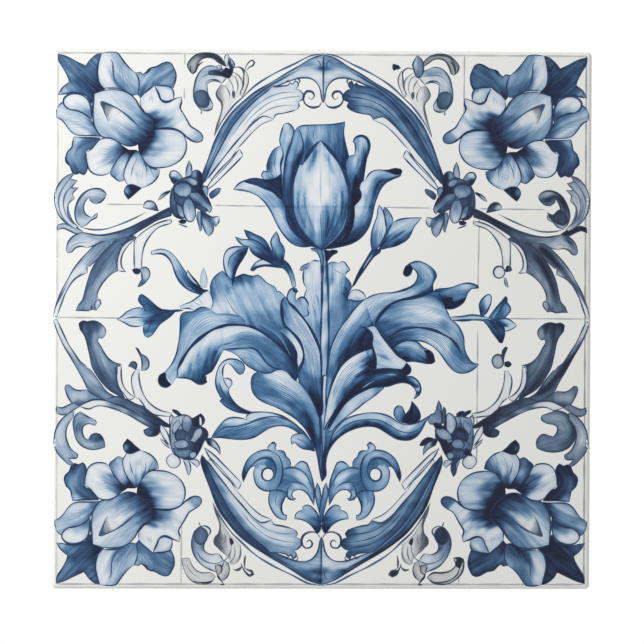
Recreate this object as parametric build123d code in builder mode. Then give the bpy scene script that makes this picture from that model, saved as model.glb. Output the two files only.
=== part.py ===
from build123d import *
import os

# A square wall tile: one piece of dust-pressed, glazed ceramic.
# The glazed face is flat and looks up, and its edge rolls over by a small radius.
# The sides draw in a little towards the back, as they leave the press die.
# The back carries a grid of shallow drafted pockets between straight ribs, which
# key the tile to its adhesive bed. The origin is the centre of the bedding plane,
# on which the ribs stand. Lengths are in millimetres and angles in degrees.

# Outline
side = 108.0  # edge to edge at the glazed face, a 4 1/4 inch tile
thickness = 6.0  # from the rib tops to the glazed face
corner_radius = 0.95  # upright corners, seen in plan
face_edge_radius = 0.85  # roll of the glazed face into the sides
side_draft = 1.2  # lean of each side, inwards towards the back
back_edge_bevel = 0.35  # small bevel that the die leaves round the back

# Relief of the back
pockets_across = 5
rib_width = 3.2  # flat top of a rib, between two pockets
border_width = 5.6  # from the glazed face's outline to the outer pockets
pocket_depth = 0.6
pocket_corner_radius = 1.6
pocket_draft = 35.0  # lean of the pocket walls, so that the die releases

pocket_pitch = (side - 2 * border_width + rib_width) / pockets_across
pocket_size = pocket_pitch - rib_width

with BuildPart() as tile:
    # Pressed body, widest at the glazed face
    with BuildSketch(Plane.XY.offset(thickness)):
        RectangleRounded(side, side, corner_radius)
    extrude(amount=thickness, dir=(0, 0, -1), taper=side_draft)

    # Soft edge of the glazed face, and the bevel round the back
    fillet(tile.faces().sort_by(Axis.Z)[-1].edges(), radius=face_edge_radius)
    chamfer(tile.faces().sort_by(Axis.Z)[0].edges(), length=back_edge_bevel)

    # Keying pockets, narrower at their floors than at their mouths
    with BuildSketch(Plane.XY):
        with GridLocations(pocket_pitch, pocket_pitch, pockets_across, pockets_across):
            RectangleRounded(pocket_size, pocket_size, pocket_corner_radius)
    extrude(amount=pocket_depth, taper=pocket_draft, mode=Mode.SUBTRACT)

tile.part.label = "tile"

os.makedirs("parts", exist_ok=True)
export_step(tile.part, "parts/tile.step")
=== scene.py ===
import math
from contextlib import contextmanager

import bpy
import numpy as np
from mathutils import Euler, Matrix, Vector
from mathutils.geometry import delaunay_2d_cdt


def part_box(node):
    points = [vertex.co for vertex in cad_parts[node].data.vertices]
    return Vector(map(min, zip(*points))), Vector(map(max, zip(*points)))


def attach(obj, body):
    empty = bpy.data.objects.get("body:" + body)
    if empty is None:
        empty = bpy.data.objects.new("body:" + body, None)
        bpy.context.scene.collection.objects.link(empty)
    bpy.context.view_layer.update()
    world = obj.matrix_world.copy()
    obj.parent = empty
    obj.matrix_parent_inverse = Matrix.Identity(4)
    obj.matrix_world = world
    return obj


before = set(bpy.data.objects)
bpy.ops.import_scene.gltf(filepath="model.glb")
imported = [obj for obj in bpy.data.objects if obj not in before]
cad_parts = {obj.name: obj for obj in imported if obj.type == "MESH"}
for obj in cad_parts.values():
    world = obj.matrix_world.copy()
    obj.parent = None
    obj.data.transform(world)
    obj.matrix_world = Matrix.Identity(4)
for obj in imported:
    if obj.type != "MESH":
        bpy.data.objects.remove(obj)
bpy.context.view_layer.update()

# A square wall tile in blue and white. Its body and its white glaze are the imported node.
# The ornament is cobalt painted under the glaze, drawn here as washes and ink lines.

# Sizes in metres, taken from the imported tile
TILE_LOW, TILE_HIGH = (Vector(corner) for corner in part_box("tile"))
TILE_SIDE = TILE_HIGH.x - TILE_LOW.x
MM = 0.001
FACE_ROLL = 0.85 * MM  # radius of the rounded edge of the face
PAINT_LIFT = 0.012 * MM  # the painting stands this far over the white glaze

# The drawing sheet: tenths of a millimetre from the tile's centre, x right and y up
SHEET_SIDE = 1080
SHEET = TILE_SIDE / SHEET_SIDE
BRUSH_UNITS = (0.1, 0.1, 1)  # brings a brush's run, across and along, to millimetres and keeps its seed
MARGIN = 1.2  # the paint stops this far short of the tile's sides
LINE_STEP = 7.0  # a curve is laid out in steps of about this length, short enough to look round
WELD = 0.05  # points nearer to each other than this become one

# Washes
WASH_STEP = 5.0  # spacing of the paint's tone points inside a wash
ROW_STEP = WASH_STEP * 0.866  # the rows of these points stand closer, which makes even triangles
POOL = 5.0  # width over which a wash gathers along its outline
RIM_TAPER = 12  # the outline thins over this length towards its sharp corners
UPRIGHT = np.array([0, 40])  # the way of the brush in a wash that names none
BLEND_CORE = 4  # each named depth holds over about this distance
BLEND_FALL = 1.8  # how fast it gives way to the next one farther out
DRAWN_OUT = 0.45  # distances along the brush count this much, so tones are drawn out that way
FIRING = 0.9  # how much paler thin colour fires, and how much deeper thick colour does
FIRING_MIDDLE = 0.42  # the depth that fires as it was painted

# Brush lines
SWELL = 0.28  # how much a line swells and thins along its way
SWELL_LENGTH = 70  # from one swelling to the next
OPEN_END = 0.22  # width of a line's open end, as a share of its full width
LINE_COVER = 0.88  # how much of the colour below it a line hides
LINE_STREAK = 0.12  # how far a line shows the brush's hairs
FULL_PEN = (2.7, 0.86)  # width and depth of the pen's line
FINE_PEN = (2.6, 0.86)

# Fine veins
VEIN_POINTS = 16  # points along a vein
SHORT_VEIN = 4  # the fewest of them that a vein takes
VEIN_WIDTH = 1.2  # veins come out this much wider than the width that they are given
VEIN_TAPER = 40
VEIN_COVER = 0.6
VEIN_ENDS = (0.06, 0.12)  # how uneven the two ends are, as shares of the length

# Soft strokes
SOFT_END = 0.15  # strength at a stroke's two ends
SOFT_REACH = 3  # a stroke has faded out this many widths from its middle

# Steps by which a layer's brush marks and swellings differ from those of the layer before it
SEED_STEP = 1.7
SWELL_STEP = 2.3


# Lines on the sheet

def read_points(text):
    """Turns "x,y x,y! ..." into points. The mark ! is a sharp corner."""
    marks = text.split()
    points = np.array([[float(v) for v in mark.rstrip("!").split(",")] for mark in marks])
    return points, np.array([mark.endswith("!") for mark in marks])


def read_tones(text):
    """Turns "x,y:tone ..." into places and the depth of colour at each."""
    pairs = [mark.split(":") for mark in text.split()]
    places = np.array([[float(v) for v in place.split(",")] for place, _ in pairs])
    return places, np.array([float(tone) for _, tone in pairs])


def bend(points, before, after):
    """A smooth stretch through points. before and after steer its two ends."""
    row = np.vstack([before, points, after])
    gap = np.maximum(np.linalg.norm(np.diff(row, axis=0), axis=1), 1e-3) ** 0.5
    out = []
    for i in range(1, len(row) - 2):
        a, b, c = gap[i - 1], gap[i], gap[i + 1]
        p0, p1, p2, p3 = row[i - 1:i + 3]
        m1 = b * ((p1 - p0) / a - (p2 - p0) / (a + b) + (p2 - p1) / b)
        m2 = b * ((p2 - p1) / b - (p3 - p1) / (b + c) + (p3 - p2) / c)
        steps = max(1, math.ceil(np.linalg.norm(p2 - p1) / LINE_STEP))
        t = np.arange(steps)[:, None] / steps
        out.append((2 * t**3 - 3 * t**2 + 1) * p1 + (t**3 - 2 * t**2 + t) * m1
                   + (3 * t**2 - 2 * t**3) * p2 + (t**3 - t**2) * m2)
    return np.vstack(out + [row[-2:-1]])


def stretches(points, sharp, closed):
    """The smooth stretches of a line, which meet at its sharp corners."""
    if closed and not sharp.any():
        return [bend(np.vstack([points, points[:1]]), points[-1], points[1])]
    if closed:
        first = int(np.argmax(sharp))
        points = np.roll(points, -first, axis=0)
        sharp = np.roll(sharp, -first)
        points = np.vstack([points, points[:1]])
        sharp = np.append(sharp, True)
    cuts = sorted({0, len(points) - 1, *np.nonzero(sharp)[0].tolist()})
    parts = [points[a:b + 1] for a, b in zip(cuts, cuts[1:])]
    return [bend(p, 2 * p[0] - p[1], 2 * p[-1] - p[-2]) for p in parts]


def walked(path):
    """The distance along a path at each of its points."""
    return np.append(0, np.cumsum(np.linalg.norm(np.diff(path, axis=0), axis=1)))


def even(path, count):
    """A path laid out again as a number of evenly spaced points."""
    along = walked(path)
    marks = np.linspace(0, along[-1], count)
    return np.column_stack([np.interp(marks, along, path[:, 0]), np.interp(marks, along, path[:, 1])])


def normals(path):
    """The left-hand normal at each point of a path."""
    way = np.gradient(path, axis=0)
    way /= np.maximum(np.linalg.norm(way, axis=1, keepdims=True), 1e-9)
    return np.column_stack([-way[:, 1], way[:, 0]])


def nearest(places, path):
    """For each place: how far it is from the path, signed to the left, and how far along."""
    a, step = path[:-1], np.diff(path, axis=0)
    length = np.maximum(np.linalg.norm(step, axis=1), 1e-9)
    to = places[:, None, :] - a[None, :, :]
    t = np.clip((to * step).sum(2) / length**2, 0, 1)
    off = to - t[:, :, None] * step
    distance = np.linalg.norm(off, axis=2)
    best = distance.argmin(1)
    row = np.arange(len(places))
    side = np.sign(step[best, 0] * to[row, best, 1] - step[best, 1] * to[row, best, 0])
    along = walked(path)[best] + t[row, best] * length[best]
    return side * distance[row, best], along


def inside(places, outline):
    """Which places an outline goes round."""
    x, y = places[:, :1], places[:, 1:]
    x1, y1 = outline.T
    x2, y2 = np.roll(outline, -1, axis=0).T
    left = (x2 - x1) * (y - y1) - (x - x1) * (y2 - y1)
    up = (y1 <= y) & (y2 > y) & (left > 0)
    down = (y1 > y) & (y2 <= y) & (left < 0)
    return (up.sum(1) - down.sum(1)) != 0


def within_sheet(outline):
    """Keeps an outline on the face, just short of its sides."""
    reach = SHEET_SIDE / 2 - MARGIN
    return np.clip(outline, -reach, reach)


def band(path, width, taper, phase, closed=False):
    """The outline of a brush line along a path, a little uneven, thin at open ends."""
    along = walked(path)
    total = max(along[-1], 1e-6)
    waves = max(1, round(total / SWELL_LENGTH))
    half = width / 2 * (1 + SWELL * np.sin(2 * math.pi * waves * along / total + phase))
    if not closed:
        ends = np.minimum(along, total - along)
        length = max(min(taper, total / 2), 1e-6)
        half *= np.clip(OPEN_END + (1 - OPEN_END) * ends / length, OPEN_END, 1)
    off = normals(path) * half[:, None]
    return np.vstack([path + off, (path - off)[::-1]])


# The painting, laid down in the painter's order

class Painting:
    """The layers of the ornament: washes, soft shades within them, and ink lines."""

    def __init__(self):
        self.layers = []
        self.flip = np.ones(2)
        self.ink = FULL_PEN
        self.grey = 0.0
        self.deeper = 0.0
        self.last_wash = None

    @contextmanager
    def mirrored(self, x=1, y=1):
        """Paints a motif on another side of the tile, mirrored where x or y is -1."""
        kept = self.flip
        self.flip = kept * [x, y]
        yield
        self.flip = kept

    @contextmanager
    def hand(self, width, depth, grey, deeper=0.0):
        """Paints with another pen: its line's width and depth, how grey it is, and how much deeper."""
        kept = self.ink, self.grey, self.deeper
        self.ink, self.grey, self.deeper = (width, depth), grey, deeper
        yield
        self.ink, self.grey, self.deeper = kept

    def place(self, points):
        """Where points lie on the side of the tile that is being painted."""
        return points * self.flip

    def path(self, text):
        """A smooth open line through the points that a text gives."""
        points, sharp = read_points(text)
        return np.vstack(stretches(self.place(points), sharp, False))

    def wash(self, outline, tone, spine=None, streak=0.3, ink=1.0, edge=0.1):
        """A closed area of colour. tone is one depth, or a depth at each of several places.

        spine is the way that the brush went, and ink is the outline's width in pen widths.
        """
        points, sharp = read_points(outline)
        parts = stretches(self.place(points), sharp, True)
        area = within_sheet(np.vstack([part[:-1] for part in parts]))
        if isinstance(tone, str):
            places, depths = read_tones(tone)
            places = self.place(places)
        else:
            places, depths = area[:1], np.array([tone], float)
        depths = depths + self.deeper * 4 * depths * (1 - depths)  # all of it at half depth, none at the ends
        middle = area.mean(0)
        way = self.path(spine) if spine else np.array([middle - UPRIGHT, middle + UPRIGHT])
        self.last_wash = dict(kind="wash", area=area, places=places, depths=depths, spine=way,
                              combed=nearest(places, way) if spine else None, streak=streak,
                              edge=edge, grey=self.grey, seed=len(self.layers) * SEED_STEP)
        self.layers.append(self.last_wash)
        if ink:
            closed = not sharp.any()
            for part in parts:
                self.stroke(part, self.ink[0] * ink, self.ink[1], RIM_TAPER, closed)

    def stroke(self, path, width, depth, taper, closed=False, cover=LINE_COVER):
        """One brush line along a path."""
        area = within_sheet(band(path, width, taper, len(self.layers) * SWELL_STEP, closed))
        self.layers.append(dict(kind="line", area=area, depth=depth, cover=cover, grey=self.grey))

    def line(self, texts, width=1.0, depth=None, taper=22):
        """Ink lines, thin at their ends, with a bar between each and the next. width is in pen widths."""
        for text in texts.split("|"):
            points, sharp = read_points(text)
            for part in stretches(self.place(points), sharp, False):
                self.stroke(part, width * self.ink[0], self.ink[1] if depth is None else depth, taper)

    def veins(self, one, other, count, width=0.45, depth=0.6, reach=(0.04, 0.9)):
        """Fine lines between two curves, each a blend of both, with uneven ends as a brush leaves them."""
        ends = [even(self.path(text), VEIN_POINTS) for text in (one, other)]
        for i in range(count):
            share = (i + 1) / (count + 1)
            blend = ends[0] * (1 - share) + ends[1] * share
            start = reach[0] + VEIN_ENDS[0] * (1 + math.sin(i * 2.4))
            stop = reach[1] - VEIN_ENDS[1] * (1 + math.sin(i * 3.7 + 1))
            first, last = int(start * VEIN_POINTS), round(stop * VEIN_POINTS)
            part = blend[first:max(last, first + SHORT_VEIN)]
            self.stroke(part, VEIN_WIDTH * width * self.ink[0], depth, VEIN_TAPER, cover=VEIN_COVER)

    def shade(self, texts, width, amount, taper=20):
        """Soft darker or lighter strokes within the last wash, with a bar between each and the next."""
        for text in texts.split("|"):
            self.layers.append(dict(kind="shade", area=self.last_wash["area"], path=self.path(text),
                                    width=width, amount=amount, taper=taper))

    def shadow(self, texts, width, amount, taper=20):
        """Soft darker strokes over all that is painted so far, with a bar between each and the next."""
        for text in texts.split("|"):
            way = self.path(text)
            low, high = way.min(0) - SOFT_REACH * width, way.max(0) + SOFT_REACH * width
            area = np.array([low, [high[0], low[1]], high, [low[0], high[1]]])
            self.layers.append(dict(kind="shade", area=area, path=way, width=width, amount=amount,
                                    taper=taper))


def tone_at(wash, places, across, along):
    """The depth of a wash at some places, eased between its named depths and drawn out along its brush."""
    if wash["combed"]:
        named_across, named_along = wash["combed"]
        gap = np.hypot(across[:, None] - named_across, DRAWN_OUT * (along[:, None] - named_along))
    else:
        gap = np.linalg.norm(places[:, None, :] - wash["places"][None], axis=2)
    weight = 1 / (gap**2 + BLEND_CORE**2) ** BLEND_FALL
    depth = (weight * wash["depths"]).sum(1) / weight.sum(1)
    return depth + FIRING * depth * (1 - depth) * (depth - FIRING_MIDDLE)


def paint(layers, corners):
    """Lays every layer over the corners of the painting's triangles and returns their paint."""
    middle = corners.mean(1)
    depth, grey, streak = (np.zeros((len(corners), 3)) for _ in range(3))
    flow = np.zeros((len(corners), 3, 3))
    covered = np.zeros(len(corners), bool)
    under = {}
    for layer in layers:
        area = layer["area"]
        if id(area) not in under:
            near = np.nonzero(((middle > area.min(0)) & (middle < area.max(0))).all(1))[0]
            under[id(area)] = near[inside(middle[near], area)]
        hit = under[id(area)]
        if not len(hit):
            continue
        at = corners[hit].reshape(-1, 2)
        if layer["kind"] == "wash":
            rim = np.vstack([area, area[:1]])
            pooled = layer["edge"] * np.exp(-(nearest(at, rim)[0] / POOL) ** 2)
            across, along = nearest(at, layer["spine"])
            depth[hit] = (tone_at(layer, at, across, along) + pooled).reshape(-1, 3)
            streak[hit] = layer["streak"]
            flow[hit] = np.column_stack([across, along, np.full(len(at), layer["seed"])]).reshape(-1, 3, 3)
        elif layer["kind"] == "shade":
            across, along = nearest(at, layer["path"])
            total = walked(layer["path"])[-1]
            ends = np.clip(np.minimum(along, total - along) / min(layer["taper"], total / 2), 0, 1)
            soft = np.exp(-(across / layer["width"]) ** 2) * (SOFT_END + (1 - SOFT_END) * ends)
            depth[hit] = np.clip(depth[hit] + layer["amount"] * soft.reshape(-1, 3), 0, 1)
            continue
        else:
            depth[hit] += (layer["depth"] - depth[hit]) * layer["cover"]
            streak[hit] = LINE_STREAK
        grey[hit] = layer["grey"]
        covered[hit] = True
    return covered, np.stack([depth, grey, streak, np.ones_like(depth)], 2), flow


def tone_points(layers):
    """An even net of points inside the washes, which carries their soft tones."""
    reach = SHEET_SIDE / 2
    x, y = np.meshgrid(np.arange(-reach, reach, WASH_STEP), np.arange(-reach, reach, ROW_STEP))
    x[::2] += WASH_STEP / 2
    net = np.column_stack([x.ravel(), y.ravel()])
    keep = np.zeros(len(net), bool)
    for layer in layers:
        if layer["kind"] == "wash":
            area = layer["area"]
            near = np.nonzero(((net > area.min(0)) & (net < area.max(0))).all(1) & ~keep)[0]
            keep[near[inside(net[near], area)]] = True
    return net[keep]


def face_height(places):
    """The height of the glazed face over places on the sheet, rolling off at its edge."""
    inset = (SHEET_SIDE / 2 - np.abs(places).max(1)) * SHEET
    over = np.clip(FACE_ROLL - inset, 0, FACE_ROLL)
    return TILE_HIGH.z - FACE_ROLL + np.sqrt(FACE_ROLL**2 - over**2) + PAINT_LIFT


def painted_film(painting):
    """Turns the painting into one thin film of triangles that lies on the glazed face."""
    points, borders, first = [], [], 0
    for layer in painting.layers:
        if layer["kind"] != "shade":
            n = len(layer["area"])
            points.append(layer["area"])
            borders += [(first + i, first + (i + 1) % n) for i in range(n)]
            first += n
    points.append(tone_points(painting.layers))
    made = delaunay_2d_cdt([Vector(p) for p in np.vstack(points)], borders, [], 0, WELD)
    verts = np.array([tuple(v) for v in made[0]])
    faces = np.array(made[2])
    covered, paint_values, flow = paint(painting.layers, verts[faces])
    used, faces = np.unique(faces[covered], return_inverse=True)
    faces, verts = faces.reshape(-1, 3), verts[used]
    mesh = bpy.data.meshes.new("cobalt_painting")
    mesh.from_pydata(np.column_stack([verts * SHEET, face_height(verts)]).tolist(), [], faces.tolist())
    pigment = mesh.attributes.new("pigment", "FLOAT_COLOR", "CORNER")
    pigment.data.foreach_set("color", paint_values[covered].ravel())
    brush = mesh.attributes.new("brush_run", "FLOAT_VECTOR", "CORNER")
    brush.data.foreach_set("vector", (flow[covered] * BRUSH_UNITS).ravel())
    chart = mesh.uv_layers.new(name="OFBake")
    chart.data.foreach_set("uv", (verts[faces] / SHEET_SIDE + 0.5).ravel())
    mesh.shade_smooth()
    film = bpy.data.objects.new("cobalt_painting", mesh)
    bpy.context.collection.objects.link(film)
    return film


# The ornament

art = Painting()


def tulip():
    """The large tulip in the middle, back petals first."""
    art.wash("-52,385! -44,388 -20,390 10,391 30,393 44,397! 41,375 45,350 52,328! 46,300 0,330 -45,310",
             "-40,375:.35 -20,372:.4 0,380:.38 20,372:.5 35,350:.62 38,385:.5 46,322:.85 30,335:.72"
             " -30,345:.7 8,350:.55", "0,250 0,400", streak=0.7)
    art.line("-28,385 -32,365 -30,350 | -15,388 -20,370 -16,355 | 8,388 12,365 24,335 | 20,389 22,365 34,328"
             " | 32,388 30,365 42,325", 0.6, 0.72)
    art.wash("-52,385! -58,376 -64,352 -73,325 -79,295 -84,265 -86,235 -80,205 -64,176 -40,156 -3,141!"
             " -20,165 -50,195 -60,240 -55,285 -46,314 -40,335 -41,360 -46,376",
             "-55,365:.42 -48,350:.4 -44,322:.92 -52,305:.9 -62,330:.5 -70,300:.62 -60,275:.85 -72,270:.7"
             " -66,245:.88 -62,215:.88 -45,182:.85 -25,160:.82 -73,245:.75",
             "-50,380 -68,300 -68,240 -40,175", streak=0.6)
    art.shade("-52,372 -62,340 -70,300 -73,265", 4, -0.2)
    art.wash("-79,391! -70,393 -62,386 -59,377 -63,360 -72,335 -78,300 -81,262! -86,285 -84,310 -80,330"
             " -84,345 -87,358 -84,374",
             "-75,385:.15 -65,380:.35 -72,365:.18 -76,350:.3 -70,345:.4 -80,320:.3 -82,300:.15 -80,280:.45",
             "-70,390 -75,350 -80,270")
    art.shade("-78,386 -76,370 -79,350", 3, 0.22)
    art.wash("-84,348! -98,341 -107,326 -112,308 -112,296 -119,297 -123,288 -117,279 -103,276 -92,266"
             " -84,256! -83,285 -85,315 -80,332",
             "-102,330:.55 -108,310:.7 -98,318:.4 -96,300:.2 -88,325:.15 -90,300:.1 -88,285:.35"
             " -116,288:.2 -108,286:.5 -102,278:.75 -94,272:.85 -87,264:.9", "-95,345 -98,300 -88,262",
             streak=0.4)
    art.shade("-112,298 -104,290 -96,280", 4, -0.35)
    art.line("-112,297 -104,292 -97,282 | -93,335 -97,312 -93,292", 0.6, 0.7)
    art.wash("-120,281! -106,281 -95,284 -85,292! -82,270 -79,245! -90,255 -100,264 -110,272", 0.85, ink=0)
    art.wash("-179,260! -168,272 -150,280 -133,283 -118,278 -105,268 -92,256 -82,240 -75,222 -73,205"
             " -62,180 -42,160 -22,147! -42,146 -60,152 -78,170 -93,193 -104,217 -120,239 -138,252"
             " -158,258",
             "-168,265:.2 -150,268:.12 -136,262:.22 -122,256:.22 -108,245:.4 -98,232:.42 -92,215:.22"
             " -86,200:.15 -74,184:.28 -62,168:.45 -45,155:.6 -72,200:.5 -80,225:.5 -108,228:.35"
             " -90,190:.35 -30,150:.75", "-175,262 -130,262 -95,225 -70,180 -30,152", streak=0.7)
    art.wash("-160,276! -148,281 -133,283 -118,279 -104,268 -92,256 -80,238 -88,244 -102,256 -118,262"
             " -132,268 -146,272", "-145,277:.7 -130,276:.78 -118,270:.68 -103,262:.85 -88,248:.9",
             "-155,277 -120,272 -85,244", streak=0.4, ink=0.7)
    art.wash("62,358! 64,366 76,369 88,364 93,352 91,338 86,318 83,298 81,281 76,262 75,246 62,228 54,200"
             " 42,230 47,290 46,315 52,328! 63,331! 65,345",
             "70,362:.35 82,362:.2 88,350:.4 74,348:.22 72,335:.3 82,335:.62 85,322:.85 62,320:.35"
             " 54,305:.42 70,310:.5 80,300:.92 55,285:.6 66,285:.72 76,275:.95 60,262:.72 70,250:.98"
             " 56,235:.92 52,212:.95", "74,365 76,330 66,290 60,230", streak=0.7)
    art.shade("72,345 66,325 62,300 60,280", 4, -0.22)
    art.shade("88,340 83,310 78,285 72,262", 5, 0.25)
    art.line("66,352 60,357 66,366 77,369 87,364 92,353 91,338 86,318", 1.9)
    art.veins("70,360 66,325 62,295", "88,350 84,320 78,290", 5, depth=0.72)
    art.wash("85,281! 91,291 99,298 115,301 128,299 140,303 152,302 158,297! 155,289 143,284 128,278"
             " 117,267 109,248 103,228 98,205 91,185 78,166 60,154 30,146 2,141! 30,165 52,190 60,212"
             " 63,230 75,243 77,254 73,264 77,276",
             "130,292:.4 112,296:.25 100,292:.18 90,275:.08 84,262:.12 82,248:.15 74,232:.1 70,215:.12"
             " 66,200:.25 98,272:.4 104,280:.55 110,272:.68 105,255:.55 96,240:.3 88,225:.3 98,225:.6"
             " 84,200:.45 90,195:.75 76,180:.8 62,170:.92 40,155:.97 15,146:.92 72,196:.5 60,185:.6",
             "150,296 110,285 95,240 80,195 45,160 5,145", streak=0.7)
    art.shade("140,288 118,280 106,262 99,240 92,212", 3.5, 0.3)
    art.shade("84,256 86,244 82,234", 2, 0.3)
    art.wash("116,301! 132,301 145,304 156,303! 159,299! 156,292! 146,291 132,297", 0.96, ink=0.8)
    art.line("156,291 140,284 126,277 115,262 108,242", 1.7)
    art.line("117,276 112,265 108,258", 1.6, 0.72)
    art.veins("118,284 100,262 92,215 70,175", "100,276 86,250 78,215 60,185", 5, depth=0.6)
    art.veins("108,235 100,200 85,178 60,162", "96,235 90,205 76,185 50,165", 3, depth=0.75)
    art.wash("2,141! 22,147 45,160 58,180 64,205 64,228! 76,243 74,262 66,292 60,270 54,235 48,200 35,172"
             " 15,152", "64,250:.97 60,225:.97 58,205:.97 45,170:.95 20,150:.95 68,275:.95", ink=0,
             streak=0.2)
    art.shade("50,180 38,164 20,150", 2.5, -0.3)
    art.wash("-5,359! -14,350 -27,333 -37,317 -41,310! -47,312 -55,294 -60,268 -61,240 -57,210 -45,182"
             " -25,159 -3,140! 18,155 38,176 49,202 53,232 51,262 44,292 30,318 12,342",
             "-5,345:.3 -16,335:.32 4,335:.25 -28,318:.3 -5,315:.14 -45,300:.22 -52,275:.28 -54,245:.32"
             " -30,285:.16 -38,250:.28 -24,250:.06 -12,280:.02 0,290:.05 6,255:.02 -8,235:.0 16,290:.18"
             " 22,260:.25 34,285:.3 32,250:.35 44,255:.5 46,225:.55 24,232:.3 4,212:.55 -10,215:.12"
             " -22,215:.22 -40,210:.4 -52,215:.45 10,190:.62 24,200:.5 38,200:.6 -12,185:.15 -28,185:.38"
             " -40,188:.5 -8,165:.4 8,165:.78 24,172:.72 -22,168:.62 0,148:.8 -4,155:.5",
             "-5,359 -5,250 -3,140", streak=0.75, ink=1.7)
    art.shade("-12,345 -20,322 -32,292", 5, 0.32, 8)
    art.shade("6,335 14,312 23,288", 3.5, 0.26, 8)
    art.shade("-35,262 -36,235 -28,205 -14,172|-48,262 -50,235 -44,205 -28,176", 2.2, 0.24)
    art.shade("22,270 26,240 22,205 8,165|36,268 40,240 36,210 22,178|12,222 12,200 4,165|46,250 46,222"
              " 38,192", 2.2, 0.28)
    art.line("-4,306 -5,270 -4,228", 1.0, 0.24)
    art.veins("0,141 -40,180 -57,225 -54,285", "0,141 -14,180 -20,225 -18,262", 8, 0.4, 0.52)
    art.veins("0,141 6,180 12,225 16,268", "2,141 34,175 49,222 44,280", 8, 0.4, 0.6)
    art.veins("0,141 -10,165 -12,195 -12,224", "2,141 14,165 22,195 24,224", 6, 0.4, 0.55)
    art.line("0,143 -3,180 -5,215", 0.8, 0.72)
    art.line("-5,359 -16,351 -30,333 -39,315", 2.2)
    art.line("-5,359 12,342 30,318 44,292 53,262 54,232 50,200 38,174", 2.4)
    art.line("-41,314 -50,308 -57,290 -64,262 -65,235 -59,205 -44,178", 2.2)
    art.line("4,145 24,162 40,184 48,208", 0.8, 0.5)


def pale_leaves():
    """The broad pair of pale ruffled leaves behind the stem."""
    art.wash("-3,118! -10,118 -18,119 -24,115! -34,111 -43,106 -46,100! -42,98 -38,102! -39,86 -37,72"
             " -31,62! -35,52 -36,44 -31,37 -29,28 -31,24! -46,14! -32,-6 -18,-28 -8,-50 0,-75!",
             "-42,102:.35 -30,107:.45 -20,112:.12 -10,105:.12 -30,90:.08 -15,80:.12 -32,65:.2 -22,50:.12"
             " -8,60:.22 -15,30:.25 -5,20:.35 -20,5:.35 -8,-20:.5", "-20,118 -20,60 -8,-30", streak=0.5)
    art.line("-46,100 -40,105 -30,104 -24,112 | -38,101 -30,103", 0.8, 0.6)
    art.veins("-28,100 -28,50 -14,-10", "-5,95 -6,50 -4,-10", 7, 0.4, 0.42)
    art.line("-14,52 -9,40 -8,28 | -20,30 -15,15 -12,5", 1.3, 0.5)
    art.wash("8,108! 14,114 24,116 32,113! 38,117 44,116 48,110 56,100! 50,97 45,90! 46,86 52,80 57,72"
             " 58,62! 53,55 51,47 52,42! 66,38 84,40! 68,26 58,14 50,2! 38,-13 20,-50 10,-70!",
             "20,108:.35 32,100:.1 45,108:.15 52,101:.3 30,85:.12 18,95:.3 20,80:.5 40,75:.45 50,70:.6"
             " 45,55:.7 30,58:.3 20,60:.12 15,40:.35 30,35:.45 42,30:.6 20,10:.5 30,-10:.5 15,-30:.5",
             "30,112 25,60 12,-30", streak=0.6)
    art.line("48,97 44,92 30,97 22,102", 0.7, 0.45)
    art.line("38,55 46,48 50,38 | 42,66 50,60 52,50", 1.6, 0.85)
    art.veins("16,104 18,60 16,0", "46,80 40,30 24,-10", 7, 0.45, 0.55)
    art.wash("53,44! 55,54 62,60 72,60 82,54 88,44! 78,39 66,38", "60,52:.1 75,52:.06 70,42:.3", ink=0.8)


def stem():
    """The upright stem, pale between two dark lines, with two small sepals at its top."""
    art.wash("-4,140! -1,120 1,100 0,70 -1,30 -3,-20 -3,-60 0,-112! 8,-112! 13,-60 13,-20 12,30 11,70"
             " 10,100 7,120 5,139",
             "-1,130:.5 4,120:.1 8,110:.6 3,90:.15 9,85:.75 3,60:.12 9,50:.4 4,20:.12 10,10:.4 3,-40:.12"
             " 11,-50:.5 5,-100:.3", "2,140 5,0 4,-110", ink=1.5, streak=0.4)
    art.line("8,130 9,100 9,70", 1.8, 0.8)
    art.wash("-4,141! -14,142 -24,144! -19,138! -12,136 -7,128 -3,115 -1,101! 2,115 1,128", 0.42,
             "0,140 0,100", ink=1.1)
    art.wash("4,141! 14,138 20,140 31,138! 29,134! 20,130 13,122 7,112!", 0.86, ink=1.1)


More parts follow.
